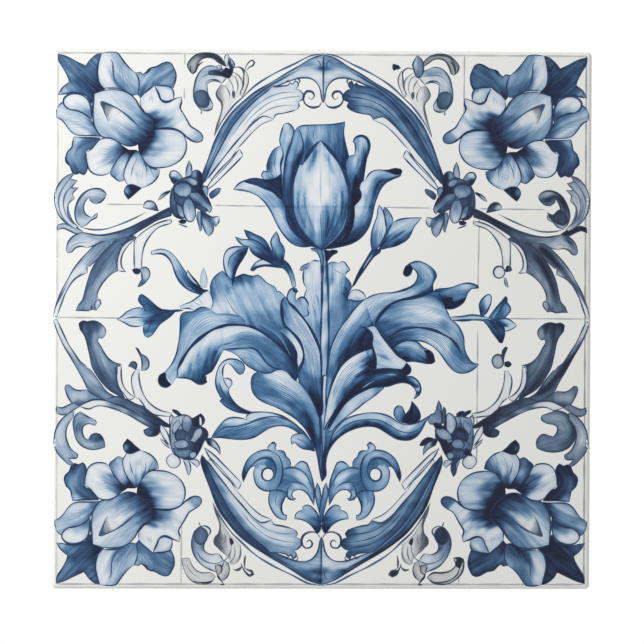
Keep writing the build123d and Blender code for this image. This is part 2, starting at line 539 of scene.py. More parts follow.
def small_buds():
    """The two small tulip buds on thin stalks, one on each side of the stem."""
    art.wash("58,65! 64,70 72,84 82,99 93,114 103,127 116,139 106,142 98,141! 91,127 83,113 76,102 69,89"
             " 62,73", "60,68:.9 75,93:.8 90,118:.62 100,135:.7", "60,66 108,142", ink=1.1)
    art.line("82,104 90,117 99,130", 0.8, 0.18)
    art.wash("98,141! 97,160 99,178 104,195 109,208 110,222 113,231! 118,224 123,210 127,195 128,180"
             " 122,165 115,152 107,142",
             "112,222:.2 108,205:.15 118,200:.1 104,185:.3 118,185:.12 104,165:.5 115,165:.35 103,148:.6",
             "103,142 108,190 113,230", streak=0.6)
    art.veins("102,145 103,180 112,215", "112,148 124,180 118,215", 4)
    art.wash("141,196! 135,188 129,177! 127,190 124,208 121,222! 124,226 133,217 139,206",
             "130,210:.3 126,215:.5 130,190:.5 137,200:.3", "128,178 124,224", streak=0.5)
    art.wash("141,196! 152,201 165,204 180,205 198,206! 191,197 183,187 176,172 169,162 158,154 145,148"
             " 128,145 112,140! 118,155 128,172 136,187",
             "190,203:.2 165,195:.22 148,185:.25 175,185:.3 160,170:.45 140,165:.5 150,155:.75 125,155:.8"
             " 170,170:.6", "112,142 145,175 198,206", streak=0.6)
    art.veins("118,146 145,172 185,200", "122,145 150,155 178,180", 4, 0.5, 0.75)
    art.line("115,143 135,160 165,180", 1.6, 0.75)
    art.wash("-60,65! -65,84 -72,97 -80,103! -76,120! -66,108 -58,90 -53,66!",
             "-57,70:.25 -62,85:.4 -72,105:.7", "-78,110 -57,66", ink=0.9)
    art.wash("-145,100! -142,97! -138,97 -132,103 -120,107 -105,107 -90,106 -78,102! -86,112 -104,118"
             " -118,121 -130,117 -138,110", "-140,102:.6 -125,114:.1 -112,112:.15 -100,108:.5",
             "-142,100 -115,114 -80,104", streak=0.5)
    art.line("-144,99 -134,104 -120,108 -104,108 -84,104", 2.4, 0.9)
    art.wash("-158,180! -148,176 -136,170 -122,164 -114,157 -108,148 -103,138 -100,127! -112,138 -130,152"
             " -146,160", "-152,176:.6 -135,165:.45 -118,155:.5 -108,140:.7", "-158,180 -120,155 -100,128",
             streak=0.6)
    art.wash("-93,177! -89,168 -86,156 -79,147 -76,137 -78,124 -77,108! -88,112 -100,128! -101,142"
             " -104,156 -99,168",
             "-93,170:.4 -98,158:.3 -88,155:.5 -90,138:.45 -82,140:.55 -92,122:.75 -82,118:.8",
             "-80,110 -93,175", streak=0.6)
    art.wash("-176,166! -163,161 -150,160 -136,159 -122,150 -110,139 -100,127! -88,116 -78,104! -96,109"
             " -112,117 -128,124 -141,134 -148,147! -160,149 -170,158",
             "-170,163:.5 -158,156:.2 -145,152:.35 -130,150:.55 -115,140:.7 -135,138:.55 -120,128:.85"
             " -105,120:.9 -95,112:.7", "-176,166 -130,140 -80,106", streak=0.7)
    art.line("-146,150 -128,142 -112,128 -96,114 | -134,130 -116,122 -100,114", 0.7, 0.92)


def left_leaves():
    """The folded leaves to the left of the stem, from the highest at the back to the lowest."""
    art.wash("-50,57! -52,62 -58,63 -65,60 -70,50 -71,40 -64,28 -50,10 -40,5! -28,10 -31,24! -28,30 -32,39"
             " -38,45 -46,44 -53,38! -55,48",
             "-62,55:.35 -66,40:.3 -56,45:.3 -45,38:.45 -38,38:.2 -50,25:.35 -36,25:.3 -40,10:.35",
             "-45,0 -60,60")
    art.line("-48,57 -54,57 -60,61", 2.6, 0.92)
    art.line("-53,38 -46,44 -38,45 -31,38 -28,30 -31,24", 1.4)
    art.wash("-178,83! -166,88 -160,91! -150,88 -140,86 -130,89 -121,83 -112,74 -104,70 -95,65 -91,57"
             " -86,56 -80,51 -75,47! -81,38 -82,22 -80,5 -77,-10 -66,-24 -56,-42 -50,-62 -48,-80 -50,-104!"
             " -60,-80 -75,-60 -95,-43 -120,-26 -150,-14 -185,-8 -215,5 -224,20! -219,30 -220,42 -224,52!"
             " -225,65 -221,78 -213,88 -200,98! -192,88 -182,80!",
             "-215,75:.42 -222,60:.55 -210,60:.5 -200,85:.35 -190,60:.5 -205,45:.3 -200,30:.15 -185,25:.12"
             " -212,15:.1 -180,45:.3 -175,78:.65 -165,84:.7 -150,82:.6 -140,83:.5 -128,84:.4 -165,60:.3"
             " -150,62:.25 -130,65:.24 -110,60:.3 -95,55:.35 -85,45:.3 -90,30:.3 -130,30:.3 -110,30:.35"
             " -150,30:.28 -160,10:.35 -185,0:.5 -140,5:.45 -120,0:.55 -100,5:.5 -90,15:.4 -95,-15:.68"
             " -85,-30:.74 -110,-20:.65 -140,-8:.6 -65,-55:.8 -55,-85:.82",
             "-50,-100 -80,-40 -115,10 -150,90", streak=0.75, ink=0.8)
    art.line("-180,83 -166,88 -158,90 -148,88 -136,87", 1.3)
    art.veins("-52,-95 -90,-30 -140,0 -200,80", "-52,-95 -80,-35 -88,0 -86,50", 17, 0.5, 0.5, (0.1, 0.85))
    art.line("-180,66 -190,62 -196,75 | -200,60 -188,35 -175,15 -150,-5 | -215,55 -214,66", 0.7, 0.55)
    art.wash("-148,147! -160,146 -178,145 -190,140 -197,129 -198,112 -195,98 -190,87 -181,79! -180,66!"
             " -178,78 -175,93 -169,107 -161,120 -153,134",
             "-175,142:.15 -190,132:.12 -194,115:.1 -192,98:.1 -185,86:.15 -180,128:.4 -165,140:.5"
             " -185,112:.45 -178,108:.6 -158,135:.85 -168,118:.85 -176,98:.9 -180,80:.9 -186,100:.3",
             "-150,146 -188,125 -181,75", streak=0.6)
    art.line("-150,143 -158,130 -168,114 -175,98 -179,70", 2.2, 0.93)
    art.line("-152,144 -172,136 -186,122 -190,105", 1.1, 0.8)
    art.wash("-224,20! -232,23 -243,24 -252,18 -262,15 -272,15 -280,12 -284,4 -284,-10 -285,-30 -288,-50"
             " -292,-70 -300,-88 -308,-98 -317,-107! -300,-130! -296,-124 -291,-117! -289,-102 -282,-85"
             " -272,-68 -258,-50 -240,-34 -222,-22 -205,-15 -190,-12 -172,-11 -150,-13! -160,5 -190,12"
             " -212,12!",
             "-275,8:.52 -281,-10:.58 -262,8:.48 -243,18:.52 -230,10:.25 -250,-5:.25 -265,-20:.3"
             " -278,-30:.45 -240,-15:.32 -225,0:.2 -200,0:.3 -180,-2:.5 -280,-55:.35 -265,-45:.25"
             " -290,-80:.35 -298,-100:.3 -305,-115:.3 -300,-122:.25",
             "-160,0 -230,0 -265,-30 -280,-70 -310,-120", streak=0.75, ink=0)
    art.line("-224,20 -232,23 -243,24 -252,18 -262,15 -272,15 -280,12 -284,4 -284,-10 -285,-30 -288,-50"
             " -292,-70 -300,-88 -308,-98 -317,-107")
    art.veins("-215,15 -245,15 -272,-20 -285,-75 -308,-105", "-190,-5 -230,-18 -260,-45 -282,-85 -298,-115",
              6, 0.5, 0.5, (0, .85))
    art.wash("-289,-102! -282,-85 -272,-68 -258,-50 -240,-34 -222,-22 -205,-15 -190,-12 -172,-11 -150,-13!"
             " -160,-35 -185,-48 -198,-62! -204,-72 -210,-84 -216,-95 -222,-104 -228,-108 -234,-113!"
             " -233,-120 -230,-125! -236,-128 -242,-129 -250,-127 -258,-122 -268,-118 -280,-117 -291,-117!",
             "-275,-95:.1 -262,-75:.1 -245,-60:.12 -230,-45:.1 -215,-32:.1 -200,-28:.08 -180,-25:.1"
             " -160,-22:.12 -175,-38:.25 -190,-48:.35 -205,-55:.4 -215,-70:.6 -225,-85:.55 -220,-97:.78"
             " -235,-100:.72 -240,-122:.92 -228,-108:.8 -250,-112:.68 -262,-110:.6 -275,-113:.5"
             " -240,-82:.4 -255,-92:.3 -232,-62:.3 -195,-35:.2 -246,-70:.3", "-190,-15 -225,-60 -240,-125",
             streak=0.8)
    art.shade("-242,-55 -247,-75 -250,-100|-222,-50 -230,-75 -234,-105|-208,-48 -218,-70 -226,-98|-258,-70"
              " -264,-90 -268,-112", 4, 0.3)
    art.veins("-278,-98 -262,-100 -252,-112", "-196,-25 -200,-55 -218,-92", 7, 0.5, 0.6, (0.1, 0.95))
    art.line("-291,-104 -282,-85 -272,-68 -258,-50 -240,-34 -222,-22 -205,-15 -190,-12 -172,-11 -155,-12"
             " -138,-17 -120,-28 -104,-40 -88,-54", 2.3, 0.93)
    art.line("-291,-117 -280,-117 -268,-118 -258,-122 -248,-128 -238,-129 -230,-125 | -236,-112 -232,-120",
             2.0)
    art.wash("-316,-106! -325,-112 -328,-122 -324,-132 -314,-136 -306,-134 -301,-130! -309,-124 -313,-116"
             " -313,-108", 0.98)
    art.wash("-100,-40! -84,-50 -68,-66 -56,-84 -48,-104! -52,-108! -62,-90 -76,-70 -92,-54 -102,-46!", 0.8,
             ink=0)
    art.wash("-205,-19! -190,-14 -172,-13 -155,-14 -140,-18 -122,-27 -105,-39 -90,-51 -75,-65 -62,-82"
             " -53,-100 -47,-112! -50,-118 -51,-127! -56,-121 -63,-112 -71,-104 -82,-100 -92,-101"
             " -102,-106 -115,-107 -128,-105 -140,-98 -150,-92 -160,-82 -170,-72 -180,-66 -193,-62!"
             " -202,-58 -203,-40",
             "-195,-30:.08 -175,-22:.1 -155,-22:.12 -140,-25:.2 -185,-45:.35 -195,-52:.4 -165,-38:.5"
             " -145,-35:.5 -125,-38:.5 -105,-50:.52 -90,-62:.55 -160,-50:.45 -140,-48:.5 -130,-55:.55"
             " -110,-65:.62 -100,-80:.62 -85,-75:.5 -70,-82:.66 -60,-95:.72 -55,-112:.78 -90,-92:.65"
             " -150,-70:.32 -165,-66:.28 -140,-70:.38 -130,-80:.38 -120,-92:.42 -135,-95:.42 -115,-102:.55"
             " -150,-85:.4 -75,-98:.6", "-195,-50 -150,-40 -100,-65 -52,-115", streak=0.8, ink=0)
    art.line("-51,-127 -56,-121 -63,-112 -71,-104 -82,-100 -92,-101 -102,-106 -115,-107 -128,-105 -140,-98"
             " -150,-92 -160,-82 -170,-72 -180,-66 -193,-62 | -88,-54 -75,-66 -62,-83 -52,-104", 0.8)
    art.veins("-195,-35 -150,-22 -105,-42 -55,-100", "-190,-58 -140,-52 -100,-85 -60,-108", 9, 0.55, 0.68,
              (0, 0.95))
    art.veins("-165,-64 -135,-66 -115,-95", "-175,-66 -150,-85 -120,-103", 3, 0.4, 0.5)
    art.line("-200,-61 -182,-59 -165,-58 -150,-57 -140,-57 -130,-62 -122,-72 -115,-82 -105,-92 -95,-97"
             " -82,-99", 1.5, 0.85)
    art.line("-205,-52 -190,-49 -178,-46", 1.2, 0.7)
    art.wash("-128,-104! -136,-109 -141,-118 -142,-130 -140,-142 -132,-154 -120,-163 -105,-170 -90,-176"
             " -75,-184 -60,-193 -40,-209 -30,-221 -23,-233 -16,-250 -10,-269 -5,-292! -3,-265 -3,-235"
             " -4,-210 -6,-193! -12,-177 -20,-160 -29,-144 -38,-132 -50,-124! -56,-120 -63,-112 -71,-104"
             " -82,-100 -92,-101 -102,-106 -115,-107",
             "-130,-112:.6 -135,-128:.62 -128,-140:.6 -115,-125:.6 -105,-112:.2 -90,-110:.06 -75,-110:.1"
             " -65,-125:.12 -85,-125:.12 -100,-130:.35 -110,-145:.68 -120,-152:.5 -95,-148:.65"
             " -80,-140:.25 -65,-140:.2 -50,-135:.3 -105,-160:.4 -85,-165:.45 -70,-155:.4 -50,-150:.35"
             " -35,-145:.4 -75,-175:.4 -55,-180:.55 -40,-172:.6 -60,-168:.68 -28,-160:.4 -22,-180:.42"
             " -12,-200:.4 -7,-222:.42 -32,-192:.85 -24,-208:.95 -20,-226:.97 -12,-245:.8 -8,-268:.6"
             " -38,-203:.6", "-130,-125 -80,-140 -35,-175 -14,-225 -5,-290", streak=0.6)
    art.veins("-118,-110 -90,-120 -45,-150 -20,-185", "-135,-140 -110,-160 -70,-176 -40,-198", 10, 0.55,
              0.7, (0.05, 0.95))
    art.veins("-80,-104 -60,-125 -35,-150", "-105,-110 -80,-125 -50,-150", 4, 0.4, 0.4)
    art.wash("-85,-22! -77,-16 -66,-22 -52,-36 -43,-52 -38,-70 -40,-86 -46,-99! -50,-85 -50,-68 -57,-52"
             " -68,-38", "-75,-22:.5 -62,-32:.2 -50,-48:.08 -44,-65:.08 -45,-85:.15",
             "-80,-22 -45,-60 -46,-98", ink=0.5)
    art.wash("-75,47! -81,38 -82,22 -80,5 -77,-8 -66,-20 -52,-34 -42,-50 -37,-68 -39,-85 -46,-99! -48,-110"
             " -45,-125 -35,-137 -22,-157 -12,-177 -6,-197! 0,-190 0,-120 -1,-80 -8,-50 -18,-28 -32,-5"
             " -48,15 -60,28 -68,36!",
             "-75,35:.5 -76,15:.55 -70,0:.45 -62,10:.3 -52,-5:.12 -60,-15:.3 -45,-20:.15 -35,-35:.12"
             " -20,-50:.2 -28,-65:.25 -12,-70:.2 -32,-90:.4 -20,-95:.3 -8,-100:.4 -40,-112:.55 -30,-120:.6"
             " -15,-130:.7 -5,-130:.6 -18,-150:.85 -8,-170:.92", "-75,40 -50,-20 -20,-80 -5,-190",
             streak=0.75)
    art.veins("-78,30 -60,-15 -35,-60 -20,-150", "-68,34 -35,-10 -8,-60 -4,-150", 8, 0.5, 0.6, (0.02, 0.95))
    art.line("-75,47 -81,38 -82,22 -80,5 -77,-8 -66,-20 -52,-34 -42,-50 -37,-68 -39,-85 -46,-99 -50,-118",
             1.9, 0.9)
    art.line("-70,44 -68,36 -60,28 -48,15 -32,-5 -18,-28 -8,-50 -2,-75 0,-110 0,-170", 1.9, 0.9)


def left_sprig():
    """The small sprig beyond the left leaves."""
    art.wash("-342,137! -334,138 -325,140 -312,138 -302,132 -292,121 -282,106 -272,92 -260,78 -248,67"
             " -237,60! -228,58! -228,54! -242,50 -258,54 -272,62 -285,75 -295,92 -300,108 -308,122"
             " -318,130 -330,131 -343,129!",
             "-335,134:.2 -320,135:.3 -305,125:.35 -296,108:.35 -288,92:.6 -275,78:.75 -262,66:.88"
             " -248,60:.92 -268,60:.4 -285,80:.5 -235,56:.8", "-340,133 -300,118 -270,72 -232,56",
             streak=0.6, ink=0.7)
    art.line("-342,129 -330,131 -318,130 -308,122 -300,108 -295,92 -285,75 -272,62 -258,54 -242,50", 1.4)
    art.wash("-270,99! -264,89 -254,77 -243,66! -258,72 -267,82 -272,89", 0.3, "-270,98 -245,66")
    art.line("-270,98 -260,84 -244,66", 2.0, 0.92)
    art.wash("-238,104! -243,91 -245,77 -243,65! -232,64! -231,80 -234,94", 0.27, "-238,100 -238,65",
             ink=0.35)
    art.wash("-285,26! -277,30 -265,34 -254,41 -245,48 -238,54 -228,57! -223,50 -220,42 -219,30 -224,20!"
             " -235,24 -244,24 -256,18! -268,22 -283,21!",
             "-270,27:.15 -255,32:.12 -240,35:.2 -230,48:.12 -228,30:.08", "-280,25 -230,40")
    art.line("-268,28 -255,26 | -258,34 -245,28 | -248,42 -240,30 | -283,28 -284,22 -277,22", 0.6, 0.6)
    art.wash("-278,18! -290,19 -305,18 -320,20! -330,25 -340,33 -352,43 -362,50 -366,48! -368,38 -362,28"
             " -357,22! -368,23 -380,20 -392,14 -400,6 -411,-1! -398,-6 -385,-13 -372,-15 -358,-13!"
             " -358,-22 -355,-33 -348,-37! -340,-31 -332,-20 -325,-10 -315,-2 -303,7 -294,15!",
             "-360,40:.72 -348,32:.75 -335,24:.85 -398,0:.2 -378,15:.3 -370,8:.45 -380,-6:.3 -368,-10:.25"
             " -355,5:.6 -345,-3:.9 -330,8:.85 -352,-24:.7 -340,-20:.72 -345,-30:.5 -315,10:.8 -300,16:.8",
             "-400,0 -345,0 -285,18", streak=0.75)
    art.line("-345,-2 -330,10 -310,14 -285,19 | -360,38 -345,28 -325,19 | -400,0 -375,4 -350,1 | -352,-30"
             " -345,-12 -335,2", 1.0, 0.9)
    art.line("-357,22 -352,14 | -358,-13 -352,-6", 1.0)


def right_leaves():
    """The folded leaves to the right of the stem, from the highest at the back to the lowest."""
    art.wash("163,100! 168,108 178,115 190,118 205,114 218,106 226,97 228,88 224,80 221,72 223,58! 205,52"
             " 190,46 172,42 155,38 140,32 128,22 118,10 108,-4 103,-16! 90,-14 60,-10 50,2! 58,14 68,26"
             " 84,40! 100,49 120,54 140,55 158,59 172,64 182,70 189,80 191,90 188,98 180,105! 170,106",
             "172,108:.5 185,112:.25 200,108:.25 215,96:.22 205,88:.3 196,92:.5 198,76:.5 210,68:.5"
             " 216,80:.28 190,62:.35 175,54:.25 150,50:.18 130,46:.14 110,42:.2 95,32:.15 78,18:.12"
             " 62,2:.2 90,2:.3 105,15:.3 118,26:.38 135,38:.4 100,-8:.5 221,62:.88 205,56:.75",
             "70,0 110,35 170,55 210,80 185,112", streak=0.75)
    art.wash("162,98! 162,92 167,88 174,90 178,96 181,104! 176,110 168,108", 0.97, ink=1.2)
    art.veins("60,10 85,38 100,46", "108,-4 120,14 140,36", 6, 0.45, 0.55, (0.2, 0.9))
    art.veins("100,-5 90,25 105,46", "125,20 128,35 150,52", 5, 0.45, 0.5, (0.1, 0.95))
    art.veins("170,60 192,78 196,95 188,108", "205,58 222,78 212,100 195,112", 4, 0.45, 0.55)
    art.line("181,104 188,98 191,90 189,80 182,70 172,64 158,59 140,55", 1.5)
    art.wash("225,62! 235,63 248,64 262,67 275,72 288,75 300,74 313,66! 300,64 292,56 288,47 284,38 275,30"
             " 262,24 250,23 245,27! 238,38 232,52",
             "240,58:.55 255,60:.4 270,66:.3 288,70:.15 302,69:.4 255,52:.5 275,58:.45 285,52:.5 245,45:.8",
             "235,55 270,60 312,67", streak=0.6)
    art.line("285,74 298,74 313,67 302,64", 2.2)
    art.wash("236,47! 248,46 261,47! 262,38 272,40 287,46! 283,37 275,30 262,24 250,23 245,27!", 0.96,
             ink=0.7)
    art.wash("104,-14! 112,4 124,20 138,32 156,40 180,45 200,50 218,57 232,58! 237,48 241,38 247,24 253,12"
             " 257,3! 264,-2 272,-10 279,-22 284,-36 285,-50 287,-62 293,-75 300,-84 315,-88! 306,-96"
             " 292,-104 278,-106 267,-103 257,-94 248,-82 239,-69 229,-58 217,-49 204,-43 190,-41 172,-41"
             " 156,-46 143,-57! 134,-46 124,-30 114,-16",
             "225,50:.6 235,42:.66 215,46:.4 200,40:.28 240,25:.4 228,28:.18 246,10:.32 225,10:.03"
             " 205,15:.08 190,25:.18 175,35:.3 160,30:.35 145,22:.48 130,10:.5 150,5:.35 170,5:.3"
             " 185,0:.25 120,-8:.6 135,-12:.6 150,-15:.6 170,-10:.45 200,-8:.25 225,-8:.3 245,-10:.48"
             " 262,-12:.3 275,-30:.5 265,-25:.3 140,-35:.78 150,-38:.7 165,-33:.68 185,-32:.45 200,-30:.25"
             " 220,-35:.15 240,-50:.15 250,-55:.08 255,-35:.2 268,-50:.45 265,-65:.5 275,-85:.5"
             " 260,-80:.38 290,-95:.45 280,-70:.6 303,-91:.4",
             "110,-20 160,0 215,0 255,-25 280,-80 310,-90", streak=0.8)
    art.veins("112,0 145,30 200,44 232,48", "130,-22 160,2 200,10 222,14", 6, 0.45, 0.5, (0.05, 0.8))
    art.veins("236,48 228,35 205,20 170,5", "250,14 235,8 205,2 180,-4", 7, 0.5, 0.45, (0.02, 0.6))
    art.veins("150,-12 200,-4 240,-8 275,-45 285,-75", "150,-40 200,-32 232,-50 262,-90 295,-100", 11, 0.5,
              0.62, (0, 0.95))
    art.line("133,-44 142,-30 156,-20 176,-15 198,-15 220,-19 241,-27 259,-38 271,-52 279,-68", 1.9, 0.9)
    art.line("104,-14 112,4 124,20 138,32 156,40 180,45 200,50 222,58 240,58", 2.3, 0.92)
    art.wash("143,-57! 150,-50 163,-43 178,-41 192,-45 203,-55 216,-60! 222,-67 227,-82! 220,-87 208,-86!"
             " 196,-83 184,-81 170,-84! 160,-78 150,-68",
             "165,-50:.28 185,-50:.2 158,-58:.5 180,-63:.45 200,-68:.5 150,-64:.72 168,-76:.8 190,-77:.62"
             " 205,-60:.35 212,-80:.8", "145,-58 180,-55 215,-75", streak=0.7)
    art.wash("204,-61! 214,-60 221,-67 227,-82! 220,-87 207,-86! 210,-79 209,-69", 0.98, ink=0.8)
    art.veins("150,-55 175,-52 205,-66", "152,-66 175,-72 205,-82", 3, 0.5, 0.75)
    art.line("170,-84 184,-81 196,-83 210,-87 220,-87", 2.0)
    art.wash("50,2! 58,14 68,26 84,40! 92,20 98,2 103,-12 77,-11! 90,-18 98,-28 101,-40 99,-52 101,-59!"
             " 86,-60 70,-66 54,-77 40,-90 28,-108 19,-130 13,-155 9,-195! 5,-195 8,-140 11,-100 14,-75"
             " 19,-52 28,-30 38,-13",
             "72,22:.08 60,5:.12 80,0:.38 90,-2:.45 50,-8:.12 40,-30:.3 58,-22:.45 75,-22:.62 30,-48:.15"
             " 42,-48:.5 58,-42:.68 78,-38:.9 92,-45:.94 95,-28:.85 75,-55:.93 50,-68:.86 24,-75:.3"
             " 35,-80:.8 20,-105:.55 14,-130:.35 11,-160:.3", "80,30 40,-30 15,-110 8,-190", streak=0.75,
             ink=0)
    art.line("9,-190 8,-140 11,-100 14,-75 19,-52 28,-30 38,-13 50,2 58,14 68,26 84,40")
    art.veins("52,2 30,-30 16,-75 10,-140", "84,0 62,-35 30,-80 14,-130", 7, 0.5, 0.62, (0, 0.95))
    art.wash("101,-59! 86,-60 70,-66 54,-77 40,-90 28,-108 19,-130 12,-155 6,-195 3,-222! 11,-206 22,-188"
             " 35,-168 47,-151 62,-136 77,-124 90,-116 101,-111! 98,-100 92,-93 96,-80 97,-68",
             "80,-66:.1 60,-80:.03 88,-72:.35 96,-85:.75 92,-102:.88 80,-90:.3 70,-100:.15 78,-108:.5"
             " 45,-105:.03 55,-118:.3 35,-122:.03 30,-145:.2 20,-160:.1 24,-178:.3 15,-190:.15 62,-130:.62"
             " 45,-145:.7 32,-165:.5", "95,-75 50,-105 20,-160 15,-200", streak=0.75)
    art.shade("98,-70 88,-78 78,-84|96,-82 86,-90 74,-98|94,-98 80,-106 66,-116|100,-64 92,-68", 3, 0.35, 5)
    art.veins("88,-64 48,-90 24,-130 14,-190", "92,-108 62,-128 38,-155 24,-195", 9, 0.55, 0.6, (0.02, 0.95))
    art.line("101,-59 86,-60 70,-66 54,-77 40,-90 28,-108 19,-130 12,-160", 1.7, 0.9)
    art.wash("11,-226! 22,-205 35,-183 48,-166 64,-152 82,-142 100,-135 117,-133! 124,-135 118,-142!"
             " 100,-156 85,-166 70,-178 52,-192 36,-206 20,-222!",
             "110,-137:.35 95,-145:.12 75,-155:.15 60,-170:.12 45,-185:.2 35,-195:.4 80,-165:.25"
             " 112,-140:.5", "120,-136 70,-160 32,-200", streak=0.7)
    art.veins("112,-137 70,-152 36,-192", "112,-143 75,-170 45,-200", 4, 0.4, 0.42)
    art.wash("96,-97! 110,-99 135,-99 157,-98! 162,-91 170,-86! 176,-92 178,-100 174,-108 166,-113!"
             " 178,-113 188,-118 196,-128 198,-142 194,-151 184,-158! 189,-148 188,-141 183,-134 175,-128"
             " 163,-125 148,-127 134,-132 118,-134 100,-136 82,-143 64,-153 48,-167 35,-184 22,-204"
             " 9,-222! 16,-202 29,-177 43,-157 57,-140 73,-126 88,-117 101,-112!",
             "105,-105:.88 120,-103:.85 138,-105:.62 150,-104:.6 165,-100:.97 172,-96:.98 120,-114:.5"
             " 135,-112:.65 108,-117:.6 150,-116:.96 165,-118:.98 130,-124:.97 105,-127:.96 90,-124:.75"
             " 75,-138:.95 55,-152:.97 38,-175:.95 28,-190:.92 180,-117:.25 189,-124:.08 195,-138:.08"
             " 191,-151:.2 178,-122:.8 185,-131:.97 190,-146:.9 160,-108:.97",
             "30,-195 80,-133 150,-115 190,-130", streak=0.4)
    art.line("105,-122 95,-127 80,-137 | 150,-110 138,-109 125,-110", 1.0, 0.35)
    art.line("185,-158 194,-150 198,-140 196,-128 188,-118 177,-113", 1.7, 0.9)
    art.wash("86,-62! 101,-59 104,-65 106,-76 109,-88 108,-98! 97,-97 92,-92 96,-80",
             "98,-64:.3 102,-72:.7 104,-84:.88 100,-95:.92", ink=0)
    art.wash("102,-12! 112,-10 124,-26 136,-44! 128,-46 114,-28", 0.62, ink=0)
    art.wash("90,-16! 98,-12 106,-12 112,-20 121,-33 132,-46 142,-58 152,-70 162,-78 170,-84! 166,-92"
             " 159,-98! 148,-98 130,-97 116,-98 108,-98! 109,-88 106,-76 104,-65 101,-55 100,-45 102,-35"
             " 99,-25",
             "104,-20:.22 115,-33:.12 108,-45:.25 125,-48:.08 135,-60:.1 112,-62:.2 125,-74:.45"
             " 118,-84:.25 140,-74:.15 150,-84:.06 160,-88:.12 112,-80:.12 130,-86:.2",
             "100,-30 150,-50 175,-60", streak=0.7)
    art.veins("102,-28 112,-32 120,-40", "108,-94 124,-84 140,-72", 15, 0.55, 0.4, (0.0, 0.85))
    art.veins("126,-44 118,-50 112,-60", "166,-86 154,-88 140,-92", 10, 0.45, 0.35, (0.0, 0.8))
    art.line("77,-12 88,-17 96,-24 100,-34 99,-48 103,-62 107,-78 108,-98", 2.0, 0.95)
    art.line("106,-12 112,-20 121,-33 132,-46 142,-58 152,-70 170,-84", 1.9, 0.92)
    art.line("108,-98 130,-98 159,-98", 1.6, 0.92)


def right_sprig():
    """The small sprig beyond the right leaves."""
    art.wash("257,7! 280,8 300,11 318,9 335,5! 330,-1 318,1 300,1 280,0 258,0!", 0.25, "258,4 330,4", ink=1.1)
    art.line("258,0 280,0 300,1 318,2", 1.5)
    art.wash("318,7! 316,20 315,32 320,42 328,50 334,53 338,50 339,40 335,27 328,14 321,7!",
             "318,20:.85 321,30:.55 330,45:.15 334,35:.12 325,12:.6", "320,8 332,50", streak=0.5)
    art.wash("333,6! 342,17 352,29 361,40 367,49! 371,46 370,37 376,29 378,21 371,11 362,2 350,-2!",
             "345,12:.45 355,25:.6 365,40:.85 368,28:.5 360,12:.7 350,4:.75 372,20:.35", "340,2 368,46",
             streak=0.7)
    art.line("345,6 358,22 367,46 | 367,49 371,42", 1.5)
    art.wash("350,0! 362,4 374,3 384,-4 391,-10! 384,-15 374,-20 362,-22! 350,-14",
             "370,-2:.1 380,-10:.06 365,-8:.85 355,-5:.85 370,-16:.12", "350,-5 390,-10")
    art.line("352,-6 364,-10 374,-12", 2.2, 0.9)
    art.wash("320,2! 332,2 345,-2 358,-8 366,-14! 366,-30 362,-45! 356,-45! 350,-35 342,-24 333,-11",
             "330,-2:.5 345,-8:.8 345,-20:.65 355,-15:.8 355,-32:.85 360,-42:.95 362,-22:.7",
             "322,2 360,-44", streak=0.7)


